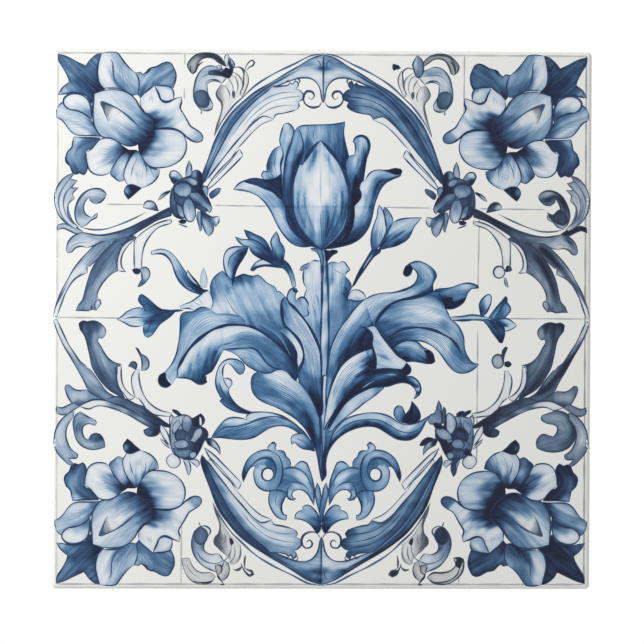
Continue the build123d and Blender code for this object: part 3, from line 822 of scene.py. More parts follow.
def lower_leaves():
    """The long leaves and scrolls that leave the foot of the stem."""
    art.wash("-205,-164! -200,-158! -208,-145 -213,-128 -212,-112 -208,-98 -201,-87 -190,-80 -180,-79"
             " -168,-81 -158,-88 -155,-98 -158,-108! -164,-110 -172,-104 -180,-93 -188,-87! -195,-90"
             " -199,-102 -198,-118! -188,-118 -181,-123 -181,-131 -186,-138! -187,-147 -181,-158 -171,-170"
             " -156,-180 -140,-186 -126,-188! -150,-188 -172,-184 -190,-176",
             "-208,-110:.15 -203,-95:.12 -190,-83:.1 -170,-88:.4 -160,-100:.45 -204,-120:.25 -205,-140:.55"
             " -195,-135:.2 -188,-126:.06 -198,-150:.62 -190,-160:.72 -180,-165:.75 -195,-168:.5"
             " -165,-178:.82 -145,-184:.9 -175,-180:.55", "-160,-100 -205,-95 -205,-145 -140,-186",
             streak=0.6)
    art.line("-198,-118 -194,-128 -186,-140 | -208,-145 -202,-158 | -206,-125 -200,-145 -186,-162", 1.0)
    art.wash("-222,-237! -212,-222 -200,-207 -190,-199 -178,-196 -165,-197 -150,-200! -152,-195 -147,-189"
             " -138,-186 -115,-185 -95,-188 -75,-195 -55,-208 -35,-226 -22,-245 -14,-264! -20,-262"
             " -28,-250 -38,-236 -50,-224 -65,-215 -78,-212 -92,-213 -105,-217 -120,-226 -135,-235"
             " -150,-239 -170,-240 -190,-238 -205,-236",
             "-205,-228:.5 -195,-215:.5 -185,-203:.2 -165,-203:.08 -148,-205:.1 -175,-212:.45"
             " -160,-220:.55 -150,-208:.35 -190,-228:.6 -170,-230:.6 -145,-230:.5 -130,-220:.5"
             " -135,-195:.15 -115,-190:.1 -100,-192:.12 -120,-203:.45 -100,-202:.55 -80,-200:.5"
             " -60,-210:.5 -40,-226:.6 -25,-248:.7 -70,-208:.35 -90,-208:.4",
             "-222,-236 -160,-218 -100,-200 -50,-212 -16,-262", streak=0.8)
    art.veins("-210,-225 -165,-208 -110,-192 -55,-214", "-205,-234 -150,-232 -100,-210 -50,-220", 6, 0.55,
              0.72, (0.02, 0.95))
    art.line("-215,-231 -195,-216 -172,-214 -150,-209 -125,-199 -100,-194 -75,-198 -50,-212 -30,-236", 1.1,
             0.8)
    art.wash("-60,-193! -48,-203 -35,-216 -25,-231 -17,-249 -10,-268 -4,-300 0,-325! 8,-312 6,-280 7,-230"
             " 10,-200! -20,-195",
             "-45,-200:.5 -30,-215:.75 -22,-230:.93 -15,-245:.85 -10,-225:.55 -14,-205:.6 -8,-265:.6"
             " -5,-290:.6 0,-240:.4 3,-220:.35 0,-280:.45 2,-305:.7 -25,-205:.9",
             "-30,-195 -12,-240 0,-320", streak=0.7)
    art.veins("-40,-195 -18,-235 -3,-300", "4,-200 2,-250 3,-305", 6, 0.6, 0.75, (0.02, 0.9))
    art.wash("-62,-243! -61,-235 -55,-230 -45,-228 -38,-229! -28,-236 -20,-248 -14,-262! -25,-260 -38,-258"
             " -48,-252 -54,-246 -60,-250!",
             "-55,-238:.15 -45,-235:.3 -40,-248:.35 -30,-245:.5 -25,-254:.75", "-60,-240 -16,-260",
             streak=0.6)
    art.line("-56,-238 -44,-240 -30,-250", 0.8, 0.6)
    art.wash("2,-315! 3,-285 8,-262 17,-240 30,-215 46,-200 62,-193 80,-188 98,-186 115,-187 130,-191"
             " 142,-197 152,-204 165,-209 180,-209 192,-205 203,-200 215,-191! 206,-208 198,-223 190,-233"
             " 178,-240 165,-241 150,-238 138,-231 125,-223 112,-216 95,-213 75,-215 55,-222 38,-233"
             " 22,-249 12,-266 8,-285 9,-310!",
             "5,-285:.9 12,-260:.9 20,-235:.3 30,-225:.3 45,-208:.25 60,-200:.15 80,-195:.2 100,-193:.2"
             " 120,-197:.15 135,-205:.35 150,-214:.1 175,-215:.08 165,-225:.3 185,-222:.5 200,-210:.4"
             " 150,-224:.6 130,-212:.6 105,-200:.35 28,-240:.92 45,-226:.94 65,-214:.95 90,-208:.96"
             " 110,-211:.95 128,-222:.9 145,-234:.9 170,-238:.88 190,-230:.8 15,-250:.93 80,-204:.55"
             " 55,-210:.5", "6,-310 12,-255 50,-212 100,-198 160,-222 212,-194", streak=0.6)
    art.line("15,-247 30,-226 48,-211 70,-202 95,-199 118,-202 138,-212 155,-222 175,-226 195,-218"
             " 210,-198", 1.0, 0.75)
    art.veins("20,-232 55,-200 100,-190 140,-202", "24,-234 60,-206 100,-196 140,-210", 2, 0.4, 0.45)
    art.wash("161,-173! 152,-172 146,-179 145,-190 150,-199 160,-205 172,-208! 176,-196 168,-190",
             "150,-182:.3 152,-192:.5 165,-198:.8 160,-180:.4", "155,-173 165,-205")
    art.wash("180,-162! 188,-172 195,-182 198,-194 193,-203 182,-208! 169,-207 161,-202 165,-192 173,-184"
             " 178,-176", "184,-170:.8 190,-180:.7 194,-190:.8 180,-190:.97 170,-198:.97 188,-200:.95",
             "182,-165 180,-205", streak=0.4)
    art.line("158,-173 163,-177 | 182,-166 186,-182 184,-196", 1.2)
    art.wash("9,-200! 5,-240 3,-270 7,-300! 10,-270 16,-245 26,-222 40,-204 26,-201",
             "12,-215:.5 20,-210:.4 10,-240:.6 7,-270:.8 25,-215:.5", "20,-205 7,-295", ink=0.8, streak=0.7)
    art.line("-4,-112 -3,-160 -2,-210 2,-270 4,-315 | 10,-112 9,-160 9,-200", 1.8, 0.92)
    art.wash("-2,-110! -1,-160 0,-210 3,-270! 6,-240 7,-200 8,-150 9,-110!",
             "3,-130:.15 3,-180:.2 4,-230:.4", ink=0)


def palmette_side():
    """The left half of the palmette under the stem, which is repeated on the right."""
    art.wash("-107,-262! -108,-255 -103,-249 -96,-246! -91,-249 -94,-256 -90,-262! -82,-262 -75,-266"
             " -72,-274 -66,-279 -62,-287 -63,-296! -75,-304 -88,-290 -96,-272",
             "-101,-253:.2 -90,-268:.3 -78,-275:.35 -70,-288:.4 -85,-285:.45", "-100,-250 -72,-298",
             streak=0.5)
    art.line("-92,-250 -96,-246 -103,-249", 1.8)
    art.wash("-78,-300! -68,-296 -56,-294! -50,-289 -44,-285 -37,-284 -31,-287 -26,-297 -21,-310 -17,-325"
             " -15,-345 -15,-372! -20,-362 -27,-350 -37,-342 -48,-340 -57,-344 -60,-351 -57,-357 -51,-358!"
             " -55,-362 -64,-359 -70,-350! -78,-345 -92,-341 -84,-325 -78,-310",
             "-80,-325:.6 -85,-335:.58 -72,-312:.5 -60,-304:.38 -45,-300:.4 -38,-290:.2 -45,-311:.1"
             " -32,-319:.12 -25,-305:.4 -20,-330:.5 -18,-350:.42 -55,-322:.55 -65,-335:.5 -50,-333:.2"
             " -35,-334:.25 -64,-350:.25 -75,-340:.5 -28,-341:.35", "-75,-305 -50,-310 -22,-335 -16,-370",
             streak=0.6)
    art.line("-79,-301 -66,-297 -50,-298 -38,-304 -27,-317 -20,-335 | -74,-330 -62,-326 -50,-325 -37,-330"
             " -25,-341", 1.2, 0.75)
    art.line("-55,-358 -62,-361 -69,-354 -69,-344 -66,-335 -60,-330", 1.3)
    art.wash("-104,-343! -106,-355 -105,-368 -100,-380 -92,-392 -82,-399 -71,-402! -70,-392! -76,-390"
             " -80,-383 -80,-372 -76,-361 -70,-352! -76,-345 -90,-341",
             "-98,-355:.35 -95,-375:.2 -85,-391:.25 -88,-360:.3 -78,-368:.5 -90,-348:.5 -80,-350:.5",
             "-90,-343 -94,-370 -72,-398", streak=0.6)
    art.line("-69,-392 -75,-391 -80,-383 -80,-371 -76,-360 -70,-352", 1.7, 0.92)
    art.line("-90,-378 -93,-362 -88,-350", 0.8, 0.6)
    art.wash("-157,-325! -159,-312 -156,-297 -149,-281 -138,-270 -124,-263 -108,-261 -98,-265! -86,-273"
             " -79,-290 -78,-305 -82,-325 -92,-340! -104,-343 -118,-341 -129,-333 -135,-320 -136,-305"
             " -133,-293! -141,-295 -148,-304 -153,-315",
             "-155,-312:.8 -150,-295:.5 -143,-283:.35 -128,-270:.3 -108,-267:.22 -92,-275:.32"
             " -120,-285:.45 -100,-288:.6 -90,-300:.5 -96,-315:.5 -100,-332:.42 -120,-333:.3 -129,-318:.3"
             " -128,-300:.25 -84,-310:.45 -104,-281:.62",
             "-155,-318 -140,-280 -105,-268 -88,-300 -105,-338 -132,-310", streak=0.65)
    art.line("-146,-300 -137,-288 -124,-279 -110,-277 -99,-282 -93,-293 -92,-307 -96,-320", 1.6, 0.8)
    art.wash("-108,-297 -99,-301 -96,-310 -100,-319 -108,-323 -117,-319 -120,-310 -117,-301", 0.0, ink=1.3,
             edge=0.0)
    art.wash("-54,-399! -52,-390 -46,-384 -38,-381! -37,-374 -28,-371 -20,-375 -12,-383 -5,-396 0,-412!"
             " -4,-425 -9,-429! -18,-415 -28,-406 -40,-400",
             "-46,-391:.2 -32,-378:.25 -30,-392:.3 -18,-388:.35 -20,-402:.5 -10,-400:.68 -5,-418:.88",
             "-50,-392 -5,-420", streak=0.6)
    art.wash("-9,-326! -13,-345 -10,-365 -4,-388 1,-408! 4,-385 2,-365 -2,-350 -4,-338",
             "-9,-345:.3 -6,-365:.4 -1,-388:.5", "-9,-328 0,-405", ink=0.9)


def ring_quarter(deep):
    """A quarter of the acanthus ring, from the middle of the top edge to the knot. Its plume is pale, or deep blue."""
    art.line("0,533 -26,528 -58,512 -97,493 -135,469 -162,444 -179,428 -195,407 -209,385 -218,366", 1.3, 0.75)
    strip = ("-100,410! -119,408 -138,395 -158,373 -178,350 -197,326 -228,283! -216,276! -190,312"
             " -172,341! -160,354 -142,374 -122,391 -100,400!")
    art.wash(strip, 0.03, "-100,405 -150,375 -220,280", ink=0.7)
    plume = ("-103,465! -85,467 -70,470 -66,474 -61,471 -57,478 -52,476 -50,469 -55,462! -50,461 -43,455"
             " -38,447 -43,440 -51,436! -48,428 -54,420! -64,417 -80,413 -95,410 -100,401! -119,407"
             " -138,395 -158,373 -178,350 -197,326 -232,280! -240,272! -217,322 -202,350 -187,378 -168,405"
             " -145,430 -122,450")
    pale = ("-60,460:.35 -48,448:.4 -58,430:.25 -60,445:.15 -85,455:.35 -85,440:.12 -85,425:.25"
            " -85,416:.06 -115,445:.45 -112,430:.15 -112,418:.22 -115,411:.04 -140,428:.5 -138,413:.16"
            " -135,403:.06 -165,400:.5 -160,388:.18 -155,378:.05 -185,370:.5 -180,360:.15 -200,340:.5"
            " -195,332:.15 -222,305:.5 -215,300:.25 -235,280:.6")
    blue = ("-60,462:.75 -48,448:.85 -56,430:.8 -62,446:.6 -85,458:.72 -85,440:.5 -85,425:.62 -85,416:.5"
            " -115,445:.72 -112,430:.5 -112,418:.66 -115,411:.6 -140,428:.75 -138,413:.55 -135,403:.7"
            " -165,400:.78 -160,388:.6 -155,378:.72 -185,370:.8 -180,360:.6 -200,340:.78 -195,332:.62"
            " -222,305:.75 -215,300:.6 -235,280:.85")
    art.wash(plume, blue if deep else pale, "-45,448 -90,440 -135,415 -172,375 -200,333 -236,276",
             streak=0.5, ink=1.1)
    art.line("-52,455 -75,455 -105,447 -135,427 -160,398 -182,368 | -44,447 -75,444 -108,434 -138,411"
             " -162,384 | -50,428 -75,429 -105,422 -135,402 -155,380", 0.8, 0.85 if deep else 0.5)
    art.wash("0,531! -26,522 -50,507 -77,491 -105,474 -135,456 -157,439 -174,423 -190,404 -204,384"
             " -216,358 -228,325 -243,286! -240,270! -217,322 -202,350 -187,378 -168,405 -145,430 -122,450"
             " -103,465! -89,469 -69,477 -46,484 -26,483 -13,474 -6,460 -3,442 0,434!",
             "-3,505:.72 -12,515:.5 -25,512:.68 -3,480:.32 -12,488:.25 -30,494:.32 -50,494:.35 -70,486:.42"
             " -50,503:.6 -80,488:.62 -95,474:.5 -110,468:.68 -130,453:.55 -130,459:.78 -155,432:.6"
             " -158,440:.8 -178,412:.58 -180,420:.78 -195,385:.58 -200,392:.78 -210,352:.6 -215,360:.76"
             " -222,325:.6 -240,285:.8", "0,505 -60,494 -118,460 -170,415 -205,362 -243,278", streak=0.6,
             ink=1.1)
    art.veins("-40,506 -110,468 -172,418 -206,366 -240,286", "-60,492 -118,458 -166,412 -200,358 -234,288",
              3, 0.8, 0.85, (0, 0.95))
    art.wash("-236,256! -216,271 -196,291 -176,311 -160,328! -167,341! -181,325 -200,306 -222,280", 0.04,
             "-230,262 -165,335")
    art.line("-231,268 -200,300 -172,332", 0.7, 0.7)
    art.line("-3,437 -8,428 -22,425 -36,432 -40,446 -33,457 -22,456 -18,448 -24,441 -30,446", 1.6, 0.9)
    art.line("-66,474 -70,479 -76,474 | -57,478 -52,484 -47,477 -51,471", 1.3, 0.85)
    art.line("-14,522 -6,512 -10,500", 1.0, 0.8)


def upper_knot():
    """The knot of short leaves above, where the ring meets a side branch."""
    art.wash("-305,258! -315,254 -325,246 -330,238! -322,242 -312,250 -306,254",
             "-309,248:.85 -322,245:.15", ink=0.9)
    art.wash("-307,289 -304,295 -297,297 -290,294 -284,288 -279,281! -286,272 -292,270 -299,272 -304,280",
             "-298,291:.12 -298,278:.85 -287,285:.35 -292,272:.85")
    art.wash("-275,283! -274,295 -271,308 -268,318! -264,308 -262,296 -264,284!", 0.28, "-270,283 -268,316")
    art.wash("-299,268 -292,276 -280,283 -268,287 -256,292 -245,293 -239,285 -241,272 -238,256 -230,245"
             " -224,232 -222,222 -230,216 -238,214 -246,217 -254,222 -258,205 -266,197 -276,202 -282,200"
             " -292,202 -301,210 -305,225 -305,245 -302,260",
             "-260,262:.88 -250,275:.88 -245,255:.85 -300,240:.62 -285,215:.68 -270,245:.66 -250,225:.66",
             ink=0)
    art.wash("-264,292! -256,298 -248,297 -242,290 -239,280 -241,265 -238,254 -240,244! -250,251 -262,264"
             " -264,278", "-254,296:.3 -250,285:.9 -246,270:.92 -244,255:.9 -258,270:.9",
             "-245,290 -242,245")
    art.wash("-298,268! -290,277 -279,282 -270,284 -259,282 -252,277 -251,270 -257,267 -264,270 -272,275"
             " -284,276", "-259,279:.32 -272,280:.52 -288,275:.55")
    art.wash("-298,261 -294,269 -282,273 -270,271 -263,262 -265,252 -272,245 -282,243 -291,247 -297,254",
             "-278,253:.36 -284,267:.55 -295,260:.45")
    art.wash("-303,262! -305,240 -304,222 -299,210 -290,203 -282,200! -286,212 -290,225 -296,240 -299,256",
             "-301,240:.6 -297,215:.7 -288,206:.75")
    art.wash("-292,230! -284,227 -279,216 -277,204! -285,206 -291,216", "-286,218:.45 -281,208:.25")
    art.wash("-297,253 -288,246 -277,245 -274,242 -275,234 -280,227 -288,228 -295,240", 0.64)
    art.wash("-274,240! -264,240 -258,231 -255,219 -255,206 -261,196 -269,196 -275,203 -279,216 -279,228",
             "-267,203:.12 -267,225:.5 -272,215:.3 -262,212:.3", "-268,240 -264,198")
    art.wash("-266,253! -250,253 -241,245 -231,234 -224,228 -221,223! -227,212! -232,221 -250,228 -259,234"
             " -265,244", "-255,246:.42 -242,238:.5 -232,226:.45 -228,217:.15 -248,231:.7",
             "-266,248 -226,217", streak=0.5)
    art.wash("-241,261! -238,267 -231,264 -230,253 -233,245!", 0.35)
    art.wash("-228,250! -221,257 -208,263 -204,262! -207,254 -216,247 -224,242",
             "-226,249:.75 -215,254:.5 -208,260:.45", "-228,248 -205,262")
    art.wash("-250,216! -244,214 -244,199 -243,178 -246,176! -248,188 -252,206", 0.36, "-250,214 -245,178")
    art.wash("-245,217! -236,214 -228,208 -219,204 -213,206 -208,206! -207,199 -210,191 -214,185!"
             " -218,192! -218,183 -222,172 -228,166! -233,172 -238,183 -242,197",
             "-235,192:.22 -228,205:.75 -238,210:.78 -213,199:.12 -228,178:.28 -222,195:.5",
             "-244,216 -226,170", streak=0.5)
    art.wash("-289,196! -281,200 -273,197 -275,192 -284,191!", 0.88, ink=0.5)
    art.line("-289,191 -278,187 -270,184", 1.6, 0.85)


def lower_knot():
    """The knot of short leaves below, where the ring meets a side branch."""
    art.wash("-301,-268! -310,-278 -310,-287 -301,-297 -290,-296 -283,-288 -283,-282 -288,-275",
             "-300,-282:.06 -290,-285:.15", ink=0.8)
    art.wash("-278,-280! -272,-294 -270,-305 -266,-313! -262,-302 -264,-288 -268,-280!", 0.22)
    art.wash("-268,-280! -258,-288 -250,-296! -245,-290 -248,-282", 0.15, ink=0.8)
    art.wash("-322,-211! -312,-222 -306,-235 -303,-252! -308,-248 -316,-238 -324,-221", 0.05, ink=0.9)
    art.wash("-323,-238! -316,-243 -309,-250 -303,-259! -312,-253 -320,-245", 0.12, ink=0.9)
    art.wash("-300,-180! -292,-182 -285,-187 -279,-191! -283,-195 -292,-189 -298,-185", 0.85)
    art.wash("-304,-195 -300,-192 -296,-197 -297,-207 -301,-218 -305,-209", 0.08)
    art.wash("-233,-238! -222,-238 -213,-245 -205,-257 -203,-271! -211,-260 -221,-254 -228,-250",
             "-226,-248:.85 -215,-248:.2 -206,-262:.25")
    art.wash("-299,-196! -288,-194 -276,-191 -264,-196 -255,-204 -245,-214 -236,-217 -229,-225 -229,-235"
             " -237,-245 -242,-258 -250,-272 -258,-280 -275,-279 -290,-273 -299,-264 -303,-245 -304,-222"
             " -302,-207",
             "-298,-215:.3 -300,-245:.4 -290,-200:.3 -262,-235:.8 -250,-250:.88 -245,-262:.82 -235,-228:.8"
             " -272,-240:.6")
    art.wash("-260,-198! -249,-193 -243,-188! -239,-192 -235,-201 -236,-207 -241,-214! -250,-215 -258,-214",
             0.92)
    art.wash("-245,-195! -242,-197 -241,-211 -244,-212", 0.05, ink=0)
    art.wash("-278,-197! -270,-192 -264,-195 -260,-206 -263,-218 -267,-226 -275,-223 -280,-216",
             "-272,-200:.28 -270,-208:.48 -266,-218:.5")
    art.wash("-300,-217! -294,-206 -286,-200! -283,-212 -290,-222 -297,-230", 0.3)
    art.wash("-294,-232 -290,-223 -282,-221 -274,-225 -272,-234 -276,-241 -285,-243 -292,-240", 0.64)
    art.wash("-263,-243! -259,-236 -256,-225 -249,-218 -241,-218 -239,-228 -246,-238 -255,-246!", 0.32)
    art.wash("-299,-257! -288,-261 -266,-260 -258,-264 -262,-272 -275,-277 -290,-272", 0.5)
    art.wash("-296,-248 -286,-242 -272,-242 -266,-251 -272,-257 -284,-259 -293,-256", 0.38)
    art.wash("-266,-270 -259,-265 -252,-267 -251,-273 -257,-279 -264,-276", 0.28)


def right_spray():
    """What only the lower right knot has: the spray above it, its own petals and its dark leaves."""
    art.wash("226,-205! 229,-190 231,-172 234,-160! 239,-172 241,-190 243,-207!", 0.42, "234,-205 235,-165")
    art.wash("212,-201! 218,-189 226,-186 229,-178! 237,-180 240,-207 230,-208 218,-208",
             "218,-198:.35 232,-190:.45")
    art.wash("243,-207! 242,-186 244,-173! 248,-177 248,-189 246,-207!", 0.5)
    art.wash("250,-204 250,-192 254,-186 262,-190 268,-198 270,-207 267,-220 257,-229 250,-217", 0.25)
    art.wash("277,-214 286,-219 289,-228 284,-237 274,-238 266,-231 266,-221", "277,-218:.85 277,-230:.66")
    art.wash("228,-218 239,-216 250,-220 260,-232 261,-238 254,-240 243,-239 236,-235 230,-228", 0.32)
    art.wash("260,-248 267,-239 279,-239 286,-248 284,-255 275,-257 265,-255", 0.38)
    art.wash("226,-205! 236,-208 246,-215! 240,-218 230,-217 225,-212", 0.95)
    art.wash("283,-268! 292,-258 297,-262 303,-273! 292,-270", 0.95)
    art.wash("262,-279! 260,-302 264,-314! 268,-307 270,-288 275,-277", 0.65)
    art.wash("196,-251! 201,-243 212,-235 223,-236! 223,-240 215,-245 204,-251 198,-252", 0.97)
    art.wash("270,-190 276,-184 286,-183 282,-189 275,-193", 0.95)


def upper_branch(dark):
    """The branch from an upper knot to the middle of the side, with its blades, scroll and ball; dark on the right."""
    art.wash("-538,3! -533,25 -521,56 -508,81 -497,100 -485,116 -471,132 -455,147 -432,158 -405,166!"
             " -418,152 -432,137 -450,120 -466,104! -470,106 -470,92! -489,84 -504,69 -514,50 -523,26"
             " -530,5!",
             "-528,20:.04 -515,52:.05 -500,78:.08 -484,98:.15 -478,112:.35 -462,118:.45 -450,132:.5"
             " -435,146:.5 -418,158:.55", "-535,5 -500,78 -440,148", streak=0.6)
    if dark:
        art.shade("-430,150 -455,132 -475,110 -493,88 -510,65 -522,42", 6, 0.6)
    art.line("-522,30 -512,54 -497,78 -480,92 | -533,22 -520,50 -505,80", 1.0, 0.7)
    art.wash("-513,137! -509,132 -501,134 -495,141 -484,145 -470,142! -455,148 -440,158! -455,166"
             " -478,173! -494,168 -504,160 -510,150",
             "-507,138:.35 -490,150:.2 -475,148:.15 -492,162:.4 -475,165:.35 -455,160:.35",
             "-508,138 -445,162")
    art.line("-505,140 -498,147 -487,152 -475,153 -463,151", 0.8, 0.5)
    if dark:
        art.shade("-482,171 -496,158 -509,139", 4, 0.5)
    art.wash("-531,176! -520,181 -506,176 -492,170 -478,174! -490,181 -505,187 -520,190 -530,187!",
             0.95 if dark else 0.3)
    art.wash("-370,163! -389,155 -403,140 -409,124 -411,108 -409,96! -419,92 -432,81 -444,65 -450,50"
             " -449,41! -444,38 -443,32 -447,24 -452,17! -460,19 -470,16 -480,17 -493,16! -487,28 -479,38"
             " -474,57 -468,81 -460,101 -447,122 -430,142 -405,160 -385,168",
             "-485,20:.5 -470,22:.45 -456,24:.5 -448,32:.2 -470,45:.55 -458,50:.45 -465,70:.6 -450,65:.4"
             " -450,95:.65 -432,90:.38 -440,112:.72 -425,105:.5 -425,130:.66 -412,120:.5 -405,148:.65"
             " -390,160:.6", "-475,18 -462,70 -440,112 -400,158", streak=0.6)
    if dark:
        art.shade("-470,30 -460,70 -445,105 -425,135", 4, 0.3)
    art.line("-452,17 -456,28 -450,38 -443,36 | -479,38 -488,26 | -460,19 -462,28", 1.3, 0.85)
    art.wash("-409,96! -393,95! -401,103 -403,116 -399,132 -388,148 -372,162! -389,155 -403,140 -409,124"
             " -411,108", 0.04)
    art.wash("-302,226! -329,212 -356,198 -380,185 -403,175 -427,169 -454,167 -481,173! -468,163 -450,157"
             " -432,156 -414,158 -402,146! -390,158 -380,168 -370,175 -360,181 -350,187 -340,193 -330,198"
             " -302,207!",
             "-310,215:.78 -340,202:.8 -365,190:.74 -395,172:.6 -425,164:.44 -455,162:.35 -398,158:.66",
             "-475,168 -400,170 -305,217", streak=0.6, ink=0)
    art.line("-302,226 -329,212 -356,198 -380,185 -403,175 -427,169 -454,167 -481,173"
             " | -302,207 -330,198 -350,187 -370,175 -390,158 -402,142 -409,124 -411,108")
    art.line("-489,185 -466,179 -438,179 -411,187 -380,200 -352,214", 1.1, 0.75)
    art.line("-481,173 -454,168 -427,170 -403,176 -380,186 -356,199", 1.3, 0.85)
    art.wash("-359,223! -357,231 -350,236 -341,235 -334,229 -328,216!",
             "-336,231:.9 -345,234:.85 -352,228:.15 -340,225:.6" if dark else "-350,230:.2 -341,230:.3 -335,222:.7", ink=1.1)
    art.wash("-376,100! -362,100! -361,125 -356,148 -345,167 -329,183 -303,192! -303,200! -325,194"
             " -345,184 -362,172 -372,163! -376,157 -377,130", 0.04)
    if dark:
        art.wash("-355,109 -347,106 -343,98 -346,89 -354,85 -362,88 -366,96 -363,105", 0.08, ink=1.2)
        art.wash("-364,86! -366,76 -369,68 -373,66! -371,76 -368,86!", 0.2)
        art.wash("-366,99! -371,110 -378,107 -380,101 -373,98!", "-370,104:.9 -377,104:.5")
    else:
        art.wash("-365,99! -358,104 -349,101 -345,91 -348,81 -356,72 -364,66 -370,64! -366,72 -361,80"
                 " -362,90", "-356,92:.32 -350,88:.3 -362,70:.6 -358,100:.4")
        art.wash("-381,99! -372,101 -364,97 -367,91 -375,91", 0.8)
    art.wash("-450,212! -452,203 -462,198 -472,188 -482,184! -491,192 -496,210 -492,230 -482,248 -468,258"
             " -450,261 -438,256 -432,249! -437,240 -446,232 -457,230! -465,237 -468,243! -476,231"
             " -478,218 -472,207 -461,203!",
             "-488,215:.55 -484,235:.35 -465,252:.22 -445,240:.45 -440,250:.35 -458,236:.45 -475,200:.4"
             " -462,201:.2 -485,192:.3 -480,225:.4", "-455,208 -488,205 -475,250 -436,248", streak=0.6)
    art.line("-434,250 -445,259 -462,259 -478,250 -490,232 -495,210 -491,193", 1.2, 0.8)
    if dark:
        art.shade("-438,248 -450,242 -466,250 -482,238 -490,215", 6, 0.6)
        art.wash("-450,218! -462,212 -475,222 -487,215 -492,200 -485,192 -470,196 -458,205", 0.7)
    art.wash("-494,180! -508,188 -522,200 -533,220 -536,245 -528,268 -514,284 -497,292! -504,280 -490,276!"
             " -502,262 -488,262! -500,250 -496,240! -508,230 -510,212 -502,196 -488,184!",
             "-515,200:.2 -525,225:.15 -528,250:.25 -515,275:.35 -505,285:.4 -500,270:.3 -512,250:.3"
             " -512,220:.12 -498,190:.2", "-495,183 -522,225 -500,288", streak=0.6)
    if dark:
        art.shade("-500,190 -514,206 -522,228 -522,250", 6, 0.35)
    art.line("-500,183 -518,200 -527,224 -526,248 -512,272 -496,290 | -498,188 -512,206 -518,228 -514,250"
             " -498,268 | -495,190 -506,208 -509,226 -500,244", 1.1, 0.62)


